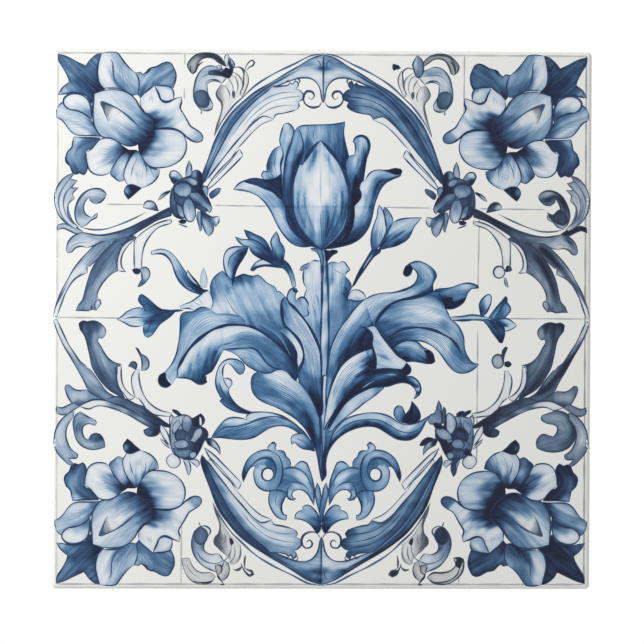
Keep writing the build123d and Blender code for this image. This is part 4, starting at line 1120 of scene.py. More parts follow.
def lower_branch(dark):
    """The branch from a lower knot to the middle of the side, with its blades, scroll and ball; dark on the right."""
    art.wash("-538,-2! -530,-2! -520,-24 -508,-49 -495,-69 -483,-86 -473,-93 -469,-98! -463,-101!"
             " -458,-108 -445,-126 -430,-146 -411,-157 -396,-163! -410,-170 -440,-160 -463,-146 -469,-141!"
             " -475,-126 -488,-103 -503,-76 -518,-51 -530,-24",
             "-525,-20:.1 -510,-55:.15 -500,-80:.4 -485,-95:.45 -470,-115:.4 -455,-125:.35 -450,-140:.5"
             " -435,-150:.5", "-535,-5 -495,-80 -460,-130 -400,-165", streak=0.6)
    if dark:
        art.shade("-430,-150 -455,-132 -475,-110 -493,-88 -510,-65 -526,-35", 6, 0.6)
    art.wash("-487,-9! -479,-4 -470,-6 -460,-4 -449,-6 -438,-14 -433,-22 -434,-31 -438,-38! -447,-38!"
             " -449,-44 -443,-54 -435,-69 -425,-81 -413,-88 -400,-90! -409,-92 -412,-99 -411,-118"
             " -406,-136 -398,-150! -394,-161! -406,-153 -426,-141 -441,-126 -453,-108 -460,-93 -464,-76"
             " -468,-59 -471,-44 -476,-31 -484,-21",
             "-483,-14:.8 -465,-12:.75 -448,-15:.78 -440,-25:.25 -475,-30:.55 -463,-25:.8 -465,-45:.6"
             " -452,-35:.4 -452,-50:.4 -458,-70:.55 -445,-65:.4 -450,-90:.6 -435,-85:.4 -440,-110:.68"
             " -425,-105:.5 -418,-95:.45 -430,-125:.72 -415,-120:.55 -415,-140:.7 -405,-150:.7",
             "-470,-10 -460,-60 -440,-110 -400,-155", streak=0.7)
    art.wash("-515,-138! -512,-132 -506,-132 -500,-137 -492,-142 -483,-143 -472,-141! -455,-152 -440,-160!"
             " -470,-165 -485,-175! -498,-170 -505,-161 -510,-151",
             "-505,-138:.4 -495,-155:.3 -480,-155:.3 -460,-158:.45 -485,-170:.6")
    art.wash("-485,-175! -470,-165 -455,-161 -438,-162! -410,-155 -386,-163 -371,-170 -353,-176 -352,-179"
             " -340,-190 -327,-197 -315,-205 -304,-211! -303,-216 -312,-215 -324,-213! -337,-220 -347,-215"
             " -362,-206 -379,-196 -397,-187 -417,-179 -437,-174 -451,-174 -466,-180",
             "-400,-170:.68 -350,-195:.78 -420,-165:.55 -370,-190:.65 -440,-169:.08 -460,-172:.06"
             " -400,-182:.3 -365,-200:.4 -330,-208:.85", "-470,-170 -400,-172 -310,-212", streak=0.6)
    art.line("-485,-175 -470,-166 -455,-161 -438,-162 -420,-167 -401,-174 -381,-183 -361,-193", 1.3, 0.85)
    art.wash("-357,-222! -354,-230 -347,-234 -337,-234 -328,-230 -323,-221 -322,-213! -338,-219 -348,-218",
             "-345,-226:.6 -335,-228:.9")
    if dark:
        art.wash("-352,-68 -344,-73 -341,-82 -345,-92 -353,-96 -361,-92 -364,-84 -361,-72", 0.25, ink=1.2)
        art.wash("-362,-84! -361,-70 -362,-60 -368,-52! -372,-54 -369,-62 -365,-72 -364,-84!", 0.6)
        art.wash("-366,-84! -374,-82 -381,-88! -374,-93 -367,-92!", 0.95)
    else:
        art.wash("-374,-56! -368,-59 -363,-69 -353,-75 -347,-84 -347,-94 -352,-101 -362,-103! -360,-90"
                 " -362,-78 -367,-68", "-370,-60:.7 -358,-85:.45 -352,-95:.35")
        art.wash("-388,-95! -383,-87 -376,-85 -371,-90 -373,-100 -380,-96", 0.6)
    art.wash("-373,-101! -366,-101! -366,-118 -362,-138 -353,-158 -339,-173 -321,-183 -301,-187!"
             " -303,-195! -322,-193 -338,-190 -352,-178! -366,-160 -374,-156! -377,-146 -381,-128"
             " -380,-113", 0.05)
    art.wash("-402,-92! -401,-120 -396,-136 -386,-148 -374,-156! -385,-162 -396,-150 -406,-136 -411,-118"
             " -409,-95!", 0.05)
    if dark:
        art.wash("-432,-256! -447,-261 -465,-264 -482,-262 -497,-254 -506,-242 -512,-226 -511,-212"
                 " -505,-200 -496,-190 -484,-183 -470,-181 -455,-186 -442,-190! -440,-197 -446,-203"
                 " -455,-207 -465,-208 -473,-213 -473,-223 -466,-232! -456,-231 -445,-228 -436,-234"
                 " -431,-244",
                 "-460,-195:.3 -485,-195:.34 -500,-205:.6 -490,-215:.36 -508,-222:.7 -498,-240:.58"
                 " -485,-235:.38 -465,-250:.4 -442,-240:.42 -482,-212:.34",
                 "-445,-195 -485,-195 -500,-225 -440,-250", streak=0.5)
        art.line("-443,-197 -445,-202", 2.4, 0.95, 3)
    else:
        art.wash("-433,-256! -447,-260 -461,-261 -479,-254 -491,-240 -496,-222 -497,-205 -492,-192"
                 " -483,-185! -474,-192 -462,-198 -454,-201! -450,-208! -454,-213 -461,-210 -471,-210"
                 " -478,-216 -479,-227 -474,-238 -467,-241! -461,-232 -451,-229 -441,-233 -435,-245",
                 "-488,-215:.6 -484,-235:.4 -465,-252:.3 -445,-240:.78 -440,-250:.45 -460,-235:.6"
                 " -475,-200:.4 -462,-204:.25 -485,-192:.35", "-455,-205 -485,-215 -470,-250 -438,-245",
                 streak=0.5)
    art.wash("-495,-184! -508,-190 -522,-203 -532,-222 -537,-250! -528,-268 -516,-282 -503,-292 -495,-290!"
             " -505,-280 -490,-278 -487,-270! -500,-262 -508,-248 -512,-230 -508,-212 -498,-198!",
             "-510,-205:.3 -525,-235:.25 -515,-265:.35 -500,-283:.4", "-498,-190 -525,-230 -500,-285",
             streak=0.7)
    art.wash("-531,-174! -520,-178 -508,-173 -495,-168 -485,-176! -497,-182 -508,-190 -520,-192 -531,-188!",
             0.35)


def upper_hook(dark):
    """The hook and its grey leaves above. Where they meet lies a dark knot, or on the other side a leaf."""
    art.wash("-203,470! -197,468 -190,475 -185,487! -172,490 -163,478 -161,462 -168,447! -180,435 -194,412"
             " -205,390 -213,378! -208,400 -204,415 -202,428 -205,436 -211,443 -214,452 -210,462",
             "-208,448:.4 -205,440:.35 -195,455:.12 -180,465:.06 -190,430:.1 -172,470:.05 -200,415:.12",
             "-175,480 -185,440 -205,395", ink=0)
    art.line("-204,471 -210,462 -214,452 -211,443 -205,436 -202,428 -204,415 -208,400 -213,385 -218,368",
             1.3, 0.75)
    art.line("-197,468 -190,458 -187,446 -190,436 | -193,484 -185,475 -181,465 -180,455 | -187,490"
             " -177,485 -172,475 -171,462 -175,450 | -184,496 -172,490 -163,478 -162,465 -168,450", 1.0,
             0.6)
    art.wash("-182,458! -177,456 -176,448 -179,441! -183,448", 0.6, ink=0)
    art.line("-180,502 -172,505 -163,502 -158,493 -160,480 -160,468", 1.5, 0.8)
    art.wash("-157,500! -151,488 -150,475 -155,460 -163,445! -166,452 -160,468 -159,485", 0.1, ink=0.7)
    art.wash("-262,491! -268,497 -272,508 -267,517 -257,527 -245,532 -232,533 -219,531 -207,524 -199,513 -195,505! -203,510"
             " -212,516 -220,522 -232,524 -244,520 -250,512 -254,503 -256,495",
             "-265,500:.45 -262,512:.3 -255,520:.4 -245,528:.72 -230,529:.85 -215,527:.85 -205,518:.8" if dark else 0.4,
             "-262,494 -260,514 -230,528 -200,510", streak=0.4)
    if dark:
        art.line("-265,507 -266,497 -261,491 -256,495 -252,505 -244,513 -240,515", 1.6, 0.9)
    else:
        art.line("-215,527 -232,531 -250,529 -262,518 -270,505", 1.3, 0.88)
        art.line("-255,520 -263,508 -264,495", 2.6, 0.92)
    with art.hand(2.8, 0.86, 0.45):
        art.wash("-203,472! -215,477 -226,475 -232,470! -232,458 -230,448 -225,438 -220,430! -223,421"
                 " -233,417 -244,418! -251,427 -258,438 -260,452 -258,467 -254,482 -247,495 -237,504"
                 " -225,507 -214,505! -205,500 -190,498! -187,488 -193,484! -198,478",
                 "-222,427:.2 -235,420:.35 -252,435:.5 -256,450:.45 -255,470:.32 -248,485:.25 -240,495:.2"
                 " -240,478:.25 -228,496:.5 -215,492:.5 -225,482:.2 -208,481:.08 -200,484:.1 -236,462:.25"
                 " -230,503:.25", "-200,482 -235,484 -245,430", streak=0.5)
        art.line("-250,475 -240,486 -228,491 -212,490 -196,487", 1.0, 0.55)
        art.line("-205,475 -213,479 -229,478 -236,470", 1.0, 0.8)
        art.wash("-257,452 -250,457 -240,458 -232,452 -229,442 -229,432 -233,425 -243,424 -251,430 -256,440",
                 "-242,446:.62 -250,440:.55 -236,432:.68", "-244,456 -240,426", ink=0.8)
        art.line("-243,418 -244,410", 1.6, 0.6)
        if dark:
            art.line("-158,494 -155,506 -148,516 -142,519 -138,514 -141,508 -148,505 -154,498", 1.2, 0.9)
            art.wash("-199,520! -196,528 -192,532! -189,525 -190,514 -193,505! -197,510", 0.1)
            art.wash("-189,525! -183,519 -178,510 -180,502 -185,498! -189,508", "-182,512:.12 -187,508:.65",
                     ink=0.9)
            art.wash("-229,497! -215,498 -202,495 -196,503 -187,501! -182,512! -181,497 -184,489 -189,483"
                     " -195,484 -202,487 -215,489 -229,489!",
                     "-225,493:.6 -210,493:.85 -195,490:.97 -188,500:.95", "-190,490 -228,494")
            art.wash("-214,507! -205,508 -203,502 -209,499", 0.15)
            art.line("-187,522 -186,510 -186,497", 1.6, 0.92)
        else:
            art.wash("-182,500 -179,512 -183,522 -188,531! -197,522 -200,512 -200,498 -197,490 -190,485"
                     " -185,490", "-182,515:.25 -192,512:.5 -190,495:.5", "-189,530 -190,487", streak=0.5)
            art.wash("-139,513! -150,510 -154,505 -147,503 -140,500!", 0.95)


def lower_hook(sickle):
    """The hook and its grey leaves below. The leaf under it is an open sickle, or a bowl with a dark foot."""
    art.wash("-203,-463! -207,-456 -213,-450 -214,-442 -212,-436 -207,-431 -204,-423 -203,-412 -206,-400"
             " -212,-386! -198,-408 -182,-432 -165,-447! -161,-462 -163,-476 -170,-486 -182,-491!"
             " -186,-478",
             "-208,-444:.4 -204,-436:.35 -195,-450:.2 -185,-460:.1 -172,-465:.05 -195,-425:.1 -200,-408:.1"
             " -172,-478:.1", "-205,-395 -190,-440 -178,-485", ink=0)
    art.line("-202,-463 -207,-456 -213,-450 -214,-442 -212,-436 -207,-431 -204,-423 -203,-412 -206,-400"
             " -212,-385 -217,-368", 1.4, 0.8)
    art.line("-211,-449 -203,-454 -196,-459", 1.5, 0.7)
    art.line("-195,-484 -186,-475 -181,-462 -180,-450 | -190,-490 -178,-482 -173,-468 -174,-452 |"
             " -180,-492 -168,-485 -162,-470 -163,-447 | -194,-428 -192,-440 -196,-450", 1.0, 0.6)
    art.wash("-184,-436! -178,-440 -175,-448! -181,-453! -184,-445", 0.65, ink=0)
    art.line("-177,-500 -170,-502 -163,-499 -158,-491 | -152,-472 -154,-485 -153,-498", 1.7, 0.85)
    art.line("-161,-488 -156,-500 -150,-508 -143,-513 -137,-510 -140,-504 -148,-501 -154,-497", 1.7, 0.92)
    art.wash("-195,-482! -187,-489 -184,-503 -188,-515 -196,-523! -205,-520 -208,-510 -200,-498",
             "-190,-500:.12 -200,-512:.1 -192,-515:.18", "-192,-484 -196,-520", ink=0.8)
    if sickle:
        art.wash("-280,-478! -277,-495 -269,-513 -257,-525 -242,-530 -228,-530 -218,-524 -212,-514!"
                 " -222,-507 -240,-507 -252,-501 -260,-490 -264,-478!", 0.1,
                 "-270,-480 -245,-518 -212,-512", streak=0.5, ink=0.5)
        art.line("-256,-524 -242,-527 -228,-527 -218,-523", 1.6, 0.97)
        art.line("-270,-482 -267,-497 -256,-510 -242,-517", 0.6, 0.5)
    else:
        art.wash("-265,-477! -270,-476 -278,-476 -285,-480 -286,-492 -283,-505 -273,-518 -257,-528"
                 " -240,-530 -224,-526 -212,-516! -224,-507 -240,-507 -253,-505 -263,-500 -270,-491", 0.12,
                 "-274,-478 -255,-513 -216,-513")
        art.line("-279,-493 -273,-510 -260,-521 -243,-526 -224,-526", 1.2, 0.85)
        art.wash("-266,-477! -278,-476 -285,-480 -282,-488 -278,-498 -272,-495 -270,-486 -272,-480", 0.97,
                 ink=0.5)
        art.wash("-140,-506! -147,-503 -154,-503 -151,-511 -141,-515!", 0.95)
    art.line("-209,-510 -202,-521 -195,-530", 1.4, 0.95)
    art.line("-204,-531 -193,-531", 1.0, 0.9)
    with art.hand(2.8, 0.86, 0.45, 0.0 if sickle else 0.1):
        art.wash("-245,-415! -254,-425 -259,-438 -260,-452 -256,-468 -248,-482 -236,-494 -222,-501"
                 " -210,-506! -200,-497 -195,-484! -205,-470 -210,-468! -218,-471 -228,-468 -234,-463"
                 " -236,-455 -234,-447 -229,-438! -222,-424 -226,-417 -235,-413",
                 "-235,-418:.08 -226,-424:.06 -253,-435:.52 -256,-450:.5 -250,-465:.42 -240,-455:.52"
                 " -243,-478:.28 -232,-475:.25 -228,-490:.18 -215,-480:.12 -212,-495:.14 -202,-478:.14"
                 " -240,-488:.25", "-240,-420 -250,-455 -215,-490", streak=0.5)
        art.line("-250,-462 -242,-477 -228,-486 -212,-489 -200,-485 -191,-479", 1.2, 0.6)
        art.wash("-243,-416 -233,-420 -228,-429 -230,-440 -236,-448 -244,-450 -252,-444 -254,-433 -250,-422",
                 0.58 if sickle else 0.72, ink=0.9 if sickle else 1.4)
    art.line("-246,-405 -242,-415", 1.1, 0.7)
    art.wash("-213,-492! -202,-492 -199,-500 -202,-508 -209,-510!", 0.15)
    art.line("-205,-452 -196,-460", 1.0, 0.7)


def corner_flower():
    """The open flower in a corner, with its large bud in front."""
    art.wash("-530,529! -508,521 -488,511 -475,506! -465,518 -452,528 -443,531! -449,513 -452,495 -449,478"
             " -443,465 -435,459! -447,455 -458,448! -463,430 -466,436 -473,445 -483,449 -500,452 -518,449"
             " -530,447! -520,462 -508,473! -510,483 -518,498 -528,515",
             "-520,518:.5 -500,505:.55 -480,495:.62 -462,515:.5 -455,500:.62 -490,475:.66 -470,475:.7"
             " -455,465:.85 -440,462:.8 -500,462:.5 -520,453:.3 -480,455:.62 -462,450:.78 -508,490:.45",
             "-530,528 -480,480 -450,455", streak=0.8)
    art.veins("-520,520 -485,488 -455,462", "-470,500 -460,480 -448,460", 4, 0.5, 0.72)
    art.wash("-378,493! -372,492 -366,493 -361,489 -354,493 -348,500 -340,503 -332,505 -322,511 -312,514"
             " -304,511 -299,502 -295,492 -295,480 -300,462! -315,466 -329,465 -337,467! -348,460 -358,451"
             " -366,442! -372,452 -371,472",
             "-372,482:.35 -358,480:.3 -345,490:.4 -330,495:.5 -315,500:.42 -305,490:.52 -320,480:.5"
             " -335,478:.5 -350,465:.42 -362,458:.6 -310,470:.45", "-360,450 -340,480 -305,505", streak=0.8)
    art.veins("-366,450 -362,470 -360,486", "-345,462 -325,480 -302,490", 8, 0.5, 0.65)
    art.line("-361,489 -352,494 -346,501 -338,504", 2.0, 0.92)
    art.wash("-443,531! -425,533 -411,531 -404,522 -396,511 -385,499 -376,493! -370,482 -368,465 -372,448!"
             " -385,448 -400,458 -415,461 -428,461 -438,461! -448,472 -452,490 -449,512",
             "-440,500:.08 -432,520:.08 -430,480:.06 -425,466:.2 -416,515:.3 -405,502:.35 -395,490:.32"
             " -385,480:.32 -412,480:.45 -402,466:.55 -382,465:.45 -418,495:.25 -376,488:.2 -415,472:.5",
             "-385,455 -410,485 -430,528", streak=0.7)
    art.line("-425,519 -421,512 -420,497 -418,482 -411,468 -402,459", 1.2, 0.8)
    art.veins("-404,462 -412,485 -412,518", "-376,455 -382,478 -396,505", 4, 0.45, 0.55)
    art.line("-438,461 -448,472 -452,490 -449,512 -443,530", 1.6, 0.85)
    art.wash("-366,440! -358,451 -348,459 -337,467! -333,458 -329,450 -326,441 -321,436 -314,434 -306,436"
             " -298,440 -284,445! -283,432 -286,424 -282,415 -276,405 -270,394 -265,386 -252,378 -244,372"
             " -240,363 -244,356 -254,354 -265,358 -274,365 -284,374 -298,380 -321,381 -341,378! -338,392"
             " -345,408 -355,413! -365,425",
             "-352,445:.08 -335,442:.06 -345,425:.05 -322,422:.05 -302,428:.04 -290,412:.05 -322,411:.25"
             " -305,408:.15 -336,410:.6 -338,396:.8 -325,394:.7 -312,396:.55 -306,386:.5 -296,394:.15"
             " -285,390:.05 -270,377:.08 -252,366:.35 -345,458:.1 -360,440:.15",
             "-340,395 -310,410 -280,440", streak=0.6)
    art.veins("-352,432 -350,442 -349,453", "-338,434 -337,446 -337,458", 3, 0.7, 0.4)
    art.wash("-337,467! -333,458 -329,450 -326,441 -321,436 -314,434 -306,436 -299,440! -299,452 -303,462"
             " -314,466 -327,467", "-312,455:.05 -325,460:.2 -305,445:.15 -310,462:.3", "-330,462 -303,440",
             ink=1.3)
    art.line("-284,445 -298,440 -306,436 -314,434 -321,436 -326,441 -330,452", 1.6, 0.88)
    art.line("-283,436 -286,424 -283,414", 1.7, 0.9)
    art.wash("-498,364! -480,362 -462,362 -445,362! -450,352 -458,343 -470,338 -474,333! -472,322 -470,309"
             " -472,296 -478,288 -486,292 -494,289 -501,294 -505,305 -513,314 -514,322 -510,334 -502,342"
             " -500,352",
             "-490,357:.2 -475,355:.6 -460,355:.66 -485,345:.62 -500,335:.3 -490,325:.5 -480,310:.62"
             " -495,300:.68 -505,318:.5 -478,335:.55", "-478,290 -490,330 -455,358", streak=0.6)
    art.line("-510,334 -514,322 -512,313 -505,305 -501,294", 1.6, 0.88)
    art.wash("-463,397! -475,408 -490,415 -505,418 -515,424 -519,432 -526,428 -532,420! -534,403! -521,396"
             " -513,386 -505,375 -495,368 -480,366 -460,366 -445,364! -452,376 -459,388",
             "-525,412:.2 -510,408:.28 -495,400:.25 -480,395:.28 -470,385:.4 -490,380:.15 -475,372:.15"
             " -455,372:.5 -463,391:.55 -485,408:.35", "-530,410 -490,395 -450,370", streak=0.7)
    art.veins("-525,410 -495,405 -465,392", "-500,375 -480,376 -455,374", 4, 0.45, 0.5)
    art.wash("-463,398! -463,415 -466,430 -472,440 -483,447 -498,450 -510,447 -518,439 -519,432 -515,424"
             " -505,418! -490,415 -475,408",
             "-470,430:.2 -485,438:.04 -505,435:.04 -485,422:.25 -470,412:.5", "-515,435 -465,405", ink=1.4)
    art.wash("-448,356! -440,361 -425,361 -412,355 -400,345 -388,338! -397,328 -407,318 -416,305 -424,296!"
             " -430,290 -445,287 -458,290 -467,298 -471,310 -473,322 -472,333! -462,340 -455,348",
             "-445,350:.06 -430,350:.08 -460,332:.06 -452,318:.05 -460,303:.05 -442,298:.05 -430,318:.35"
             " -420,335:.45 -408,338:.65 -415,318:.5 -442,332:.15 -430,302:.1 -400,332:.7",
             "-400,340 -435,320 -465,305", streak=0.8)
    art.veins("-405,342 -430,350 -448,352", "-410,330 -435,318 -460,325", 5, 0.5, 0.45)
    art.veins("-403,336 -425,318 -445,300", "-408,326 -420,308 -428,298", 5, 0.6, 0.6)
    art.wash("-388,338! -405,325 -415,312 -424,297! -425,290 -416,282 -407,275 -398,277! -396,290 -390,300"
             " -375,320 -370,335",
             "-416,290:.5 -407,284:.3 -402,305:.15 -396,320:.35 -385,330:.68 -410,300:.3",
             "-385,335 -412,285", streak=0.6)
    art.wash("-375,336! -388,318 -396,300 -398,283 -394,274 -388,266! -380,268 -370,262 -362,262! -348,268"
             " -338,275 -330,285 -326,298! -335,300 -345,303 -352,310 -358,320 -362,334",
             "-386,285:.1 -376,275:.08 -362,275:.1 -345,280:.15 -335,290:.35 -365,300:.12 -380,305:.2"
             " -370,322:.4 -350,298:.25 -355,314:.55", "-368,332 -370,300 -360,266", streak=0.7)
    art.line("-372,320 -380,303 -384,284 | -362,322 -353,302 -352,284 | -357,318 -346,302 -338,284", 0.9,
             0.75)
    art.veins("-378,300 -376,288 -374,272", "-356,300 -358,288 -356,270", 5, 0.5, 0.45)
    art.wash("-396,262! -391,267 -381,268 -371,265 -362,262! -372,255 -380,247 -389,239! -395,248 -397,256",
             "-392,256:.35 -382,260:.95 -378,256:.95 -389,246:.8", ink=1.2)
    art.wash("-370,350! -356,366 -341,378 -321,381 -298,380 -284,374 -276,362 -273,348 -275,335 -282,322"
             " -292,313 -306,306 -322,303 -340,303 -350,308 -358,318 -366,332",
             "-300,358:.1 -288,340:.1 -310,325:.1 -330,313:.15 -350,318:.3 -342,332:.35 -352,345:.72"
             " -335,348:.25 -342,366:.6 -325,370:.35 -310,371:.15 -360,333:.68 -355,355:.8",
             "-362,345 -330,345 -280,345", streak=0.7)
    art.veins("-356,362 -335,370 -318,374", "-352,318 -338,322 -328,326", 12, 0.55, 0.5, (0, 0.8))
    art.line("-341,378 -321,381 -298,380 -284,374 -272,364 -258,356", 1.6, 0.88)
    art.shadow("-340,396 -346,374 -358,354 -378,342 -404,340", 13, 0.6)
    art.shadow("-342,388 -350,368 -364,350 -384,341", 6, 0.3)
    art.wash("-457,450! -440,456 -421,458 -401,456 -386,449 -374,437 -366,422 -358,413 -347,406 -340,394"
             " -341,382 -350,368 -361,357 -375,348 -391,346 -406,352 -423,361 -440,363 -449,371 -457,386"
             " -460,403 -460,425",
             "-450,440:.12 -430,448:.2 -405,446:.25 -385,433:.3 -376,418:.25 -440,425:.08 -420,412:.06"
             " -400,400:.06 -385,390:.2 -400,376:.3 -372,402:.4 -357,402:.55 -347,392:.78 -350,378:.84"
             " -363,366:.84 -380,354:.75 -375,372:.5 -394,360:.55 -420,370:.3 -440,376:.3 -452,395:.25"
             " -455,420:.15 -436,400:.12 -363,386:.6", "-355,365 -400,390 -450,440", streak=0.8)
    art.veins("-352,372 -375,395 -412,425", "-375,355 -410,372 -445,395", 11, 0.5, 0.6, (0, 0.75))
    art.veins("-352,402 -385,435 -425,448", "-360,395 -385,415 -425,432", 4, 0.5, 0.5, (0, 0.9))
    with art.hand(2.3, 0.8, 0.9):
        art.wash("-444,433! -430,429 -414,422 -404,414 -415,404 -428,394!",
                 "-440,429:.7 -428,422:.4 -432,408:.35 -417,415:.08 -422,404:.05", ink=0)
    art.line("-429,394 -435,408 -439,420 -444,433 -430,429 -412,421 -396,410 -380,396 -366,382", 1.5, 0.75)
    art.line("-457,450 -460,425 -460,403 -457,386 -449,371 -440,363", 1.4, 0.85)
    art.line("-386,449 -374,437 -366,422 -358,413 -347,406 -340,394 -341,382", 1.5, 0.88)


def joint_lines():
    """The faint grey lines that cross the white ground and frame it, as if four smaller tiles met. The frame is painted
    deeper on the right and below, as painted shade.
    """
    with art.hand(1.0, 0.2, 1.0):
        for text in ("-432,229 -358,229", "-217,228 -112,227", "118,226 218,225", "314,224 446,223",
                     "-530,3 -404,2", "370,4 530,4", "-277,533 -277,508", "-278,462 -278,440", "283,533 282,410",
                     "314,205 312,60", "312,-20 311,-290", "-280,-366 -281,-530", "276,-512 276,-530"):
            art.line(text, 2.6, 0.36, 3)
        # The frame is a grey printed line. It is painted deeper on the right and below as painted shade of the edge's
        # roll, on the sides away from the lamp at the upper left.
        for text, depth in (("-530,531 -530,-530", 0.2), ("-530,531 530,531", 0.28), ("528,531 528,-530", 0.42),
                            ("-530,-530 528,-530", 0.34)):
            art.line(text, 3.4, depth, 3)


# How much deeper each quarter of the ring is painted than its tones say, or paler where it is below zero.
# Its key is the mirroring: 1 for the left and the top, as drawn, and -1 for the right and the bottom.
RING_DEEPER = {(1, 1): -0.22, (-1, 1): -0.12, (1, -1): 0.05, (-1, -1): -0.14}
# The same for the corner flowers, which are deeper on the right
FLOWER_DEEPER = {(1, 1): 0.0, (-1, 1): 0.18, (1, -1): 0.05, (-1, -1): 0.3}

joint_lines()
for across in (1, -1):
    left = across == 1
    for up in (1, -1):
        with art.mirrored(across, up):
            if up == 1:
                with art.hand(2.9, 0.87, grey=1.0):
                    upper_hook(left)
                with art.hand(*FINE_PEN, grey=0.4 if left else 0.65, deeper=-0.04 if left else 0.06):
                    upper_branch(not left)
            with art.hand(*FINE_PEN, grey=0.18, deeper=RING_DEEPER[across, up]):
                ring_quarter(not left)
            if (across, up) == (-1, -1):
                art.shadow("-30,512 -105,474 -157,437 -190,402 -216,355 -240,292", 5, 0.3)
            if up == 1:
                with art.hand(*FINE_PEN, grey=0.28 if left else 0.4, deeper=0.0 if left else 0.06):
                    upper_knot()
            with art.hand(2.6, 0.88, grey=0.2, deeper=FLOWER_DEEPER[across, up]):
                corner_flower()
    with art.mirrored(across):
        with art.hand(3.2, 0.9, grey=1.0, deeper=0.3):
            lower_hook(left)
        with art.hand(*FINE_PEN, grey=0.4 if left else 0.6, deeper=0.0 if left else 0.14):
            lower_branch(not left)
        with art.hand(*FINE_PEN, grey=0.4, deeper=0.0 if left else 0.14):
            lower_knot()
        with art.hand(*FULL_PEN, grey=0.0, deeper=0.03 if left else 0.07):
            palmette_side()
art.shadow("-10,504 2,501 | 4,522 14,517 20,508 | 28,-500 40,-503 54,-501 | -14,-518 0,-523 12,-516", 4, 0.3)
with art.hand(2.6, 0.88, grey=0.4, deeper=0.08):
    right_spray()
pale_leaves()
small_buds()
with art.hand(2.6, 0.84, grey=0.0, deeper=-0.14):
    left_sprig()
right_sprig()
lower_leaves()
left_leaves()
with art.hand(*FULL_PEN, grey=0.0, deeper=0.05):
    right_leaves()
stem()
tulip()
art.shadow("-112,227 -62,226 -20,226 20,226 60,226 118,226", 1.5, 0.12)


# Colours and finishes

def linear(code):
    """An sRGB hex colour as the linear colour that a shader takes."""
    parts = [int(code[i:i + 2], 16) / 255 for i in (1, 3, 5)]
    return (*[v / 12.92 if v <= 0.04045 else ((v + 0.055) / 1.055) ** 2.4 for v in parts], 1.0)


def add(tree, kind, settings):
    """Adds a node. Each setting is a property, a socket's value, or the socket that feeds it."""
    node = tree.nodes.new(kind)
    for name, value in settings.items():
        if isinstance(value, bpy.types.NodeSocket):
            tree.links.new(value, node.inputs[name])
        elif isinstance(name, int) or name in node.inputs:
            node.inputs[name].default_value = value
        else:
            setattr(node, name, value)
    return node


def new_finish(name):
    """An empty material and the node tree that it is built in."""
    finish = bpy.data.materials.new(name)
    finish.use_nodes = True
    finish.node_tree.nodes.clear()
    return finish, finish.node_tree


def colour_run(tree, stops, factor):
    """A run of colours along a factor, from stops of {position: hex}."""
    run = add(tree, "ShaderNodeValToRGB", {"Fac": factor})
    marks = run.color_ramp.elements
    while len(marks) < len(stops):
        marks.new(0.5)
    for mark, (position, code) in zip(marks, sorted(stops.items())):
        mark.position = position
        mark.color = linear(code)
    return run.outputs["Color"]


GLAZE_WHITE = "#F4F3EF"
# Cobalt from a thin wash to a full line, and the same pigment where it fired grey
COBALT = {0.0: GLAZE_WHITE, 0.15: "#CFDBE6", 0.3: "#A5C0D8", 0.45: "#769BBE", 0.6: "#47749D", 0.75: "#2A5079",
          0.88: "#172F54", 1.0: "#0E1634"}
GREY_COBALT = {0.0: GLAZE_WHITE, 0.15: "#DDDDDC", 0.3: "#B9BCBF", 0.45: "#93989F", 0.6: "#6D7480",
               0.75: "#4C5564", 0.88: "#333A49", 1.0: "#22263A"}
HAIRS = (1.6, 0.12, 3.7)  # how fast the streaks change across the brush, along it, and from wash to wash
PAINT_CLOUD = 2.2 * MM  # width of the clouds in which wet pigment settles
GLAZE_ROUGHNESS = 0.16
GLAZE_IOR = 1.5
GLAZE_WAVE = 6 * MM  # from crest to crest of the faint waves in which a glaze lies
GLAZE_RELIEF = 0.02 * MM
GLAZE_CLOUD = 30 * MM  # width of the clouds in the white's faint tint

# The glaze's lower edge wanders. It thins out between two levels, measured with the wander added
EDGE_WAVE = 9 * MM
EDGE_WANDER = 1.4 * MM
EDGE_BARE = 2.5 * MM
EDGE_FULL = 2.65 * MM

BISCUIT_ROUGHNESS = 0.85
CLAY_GRAIN = 0.5 * MM
CLAY_CLOUD = 18 * MM


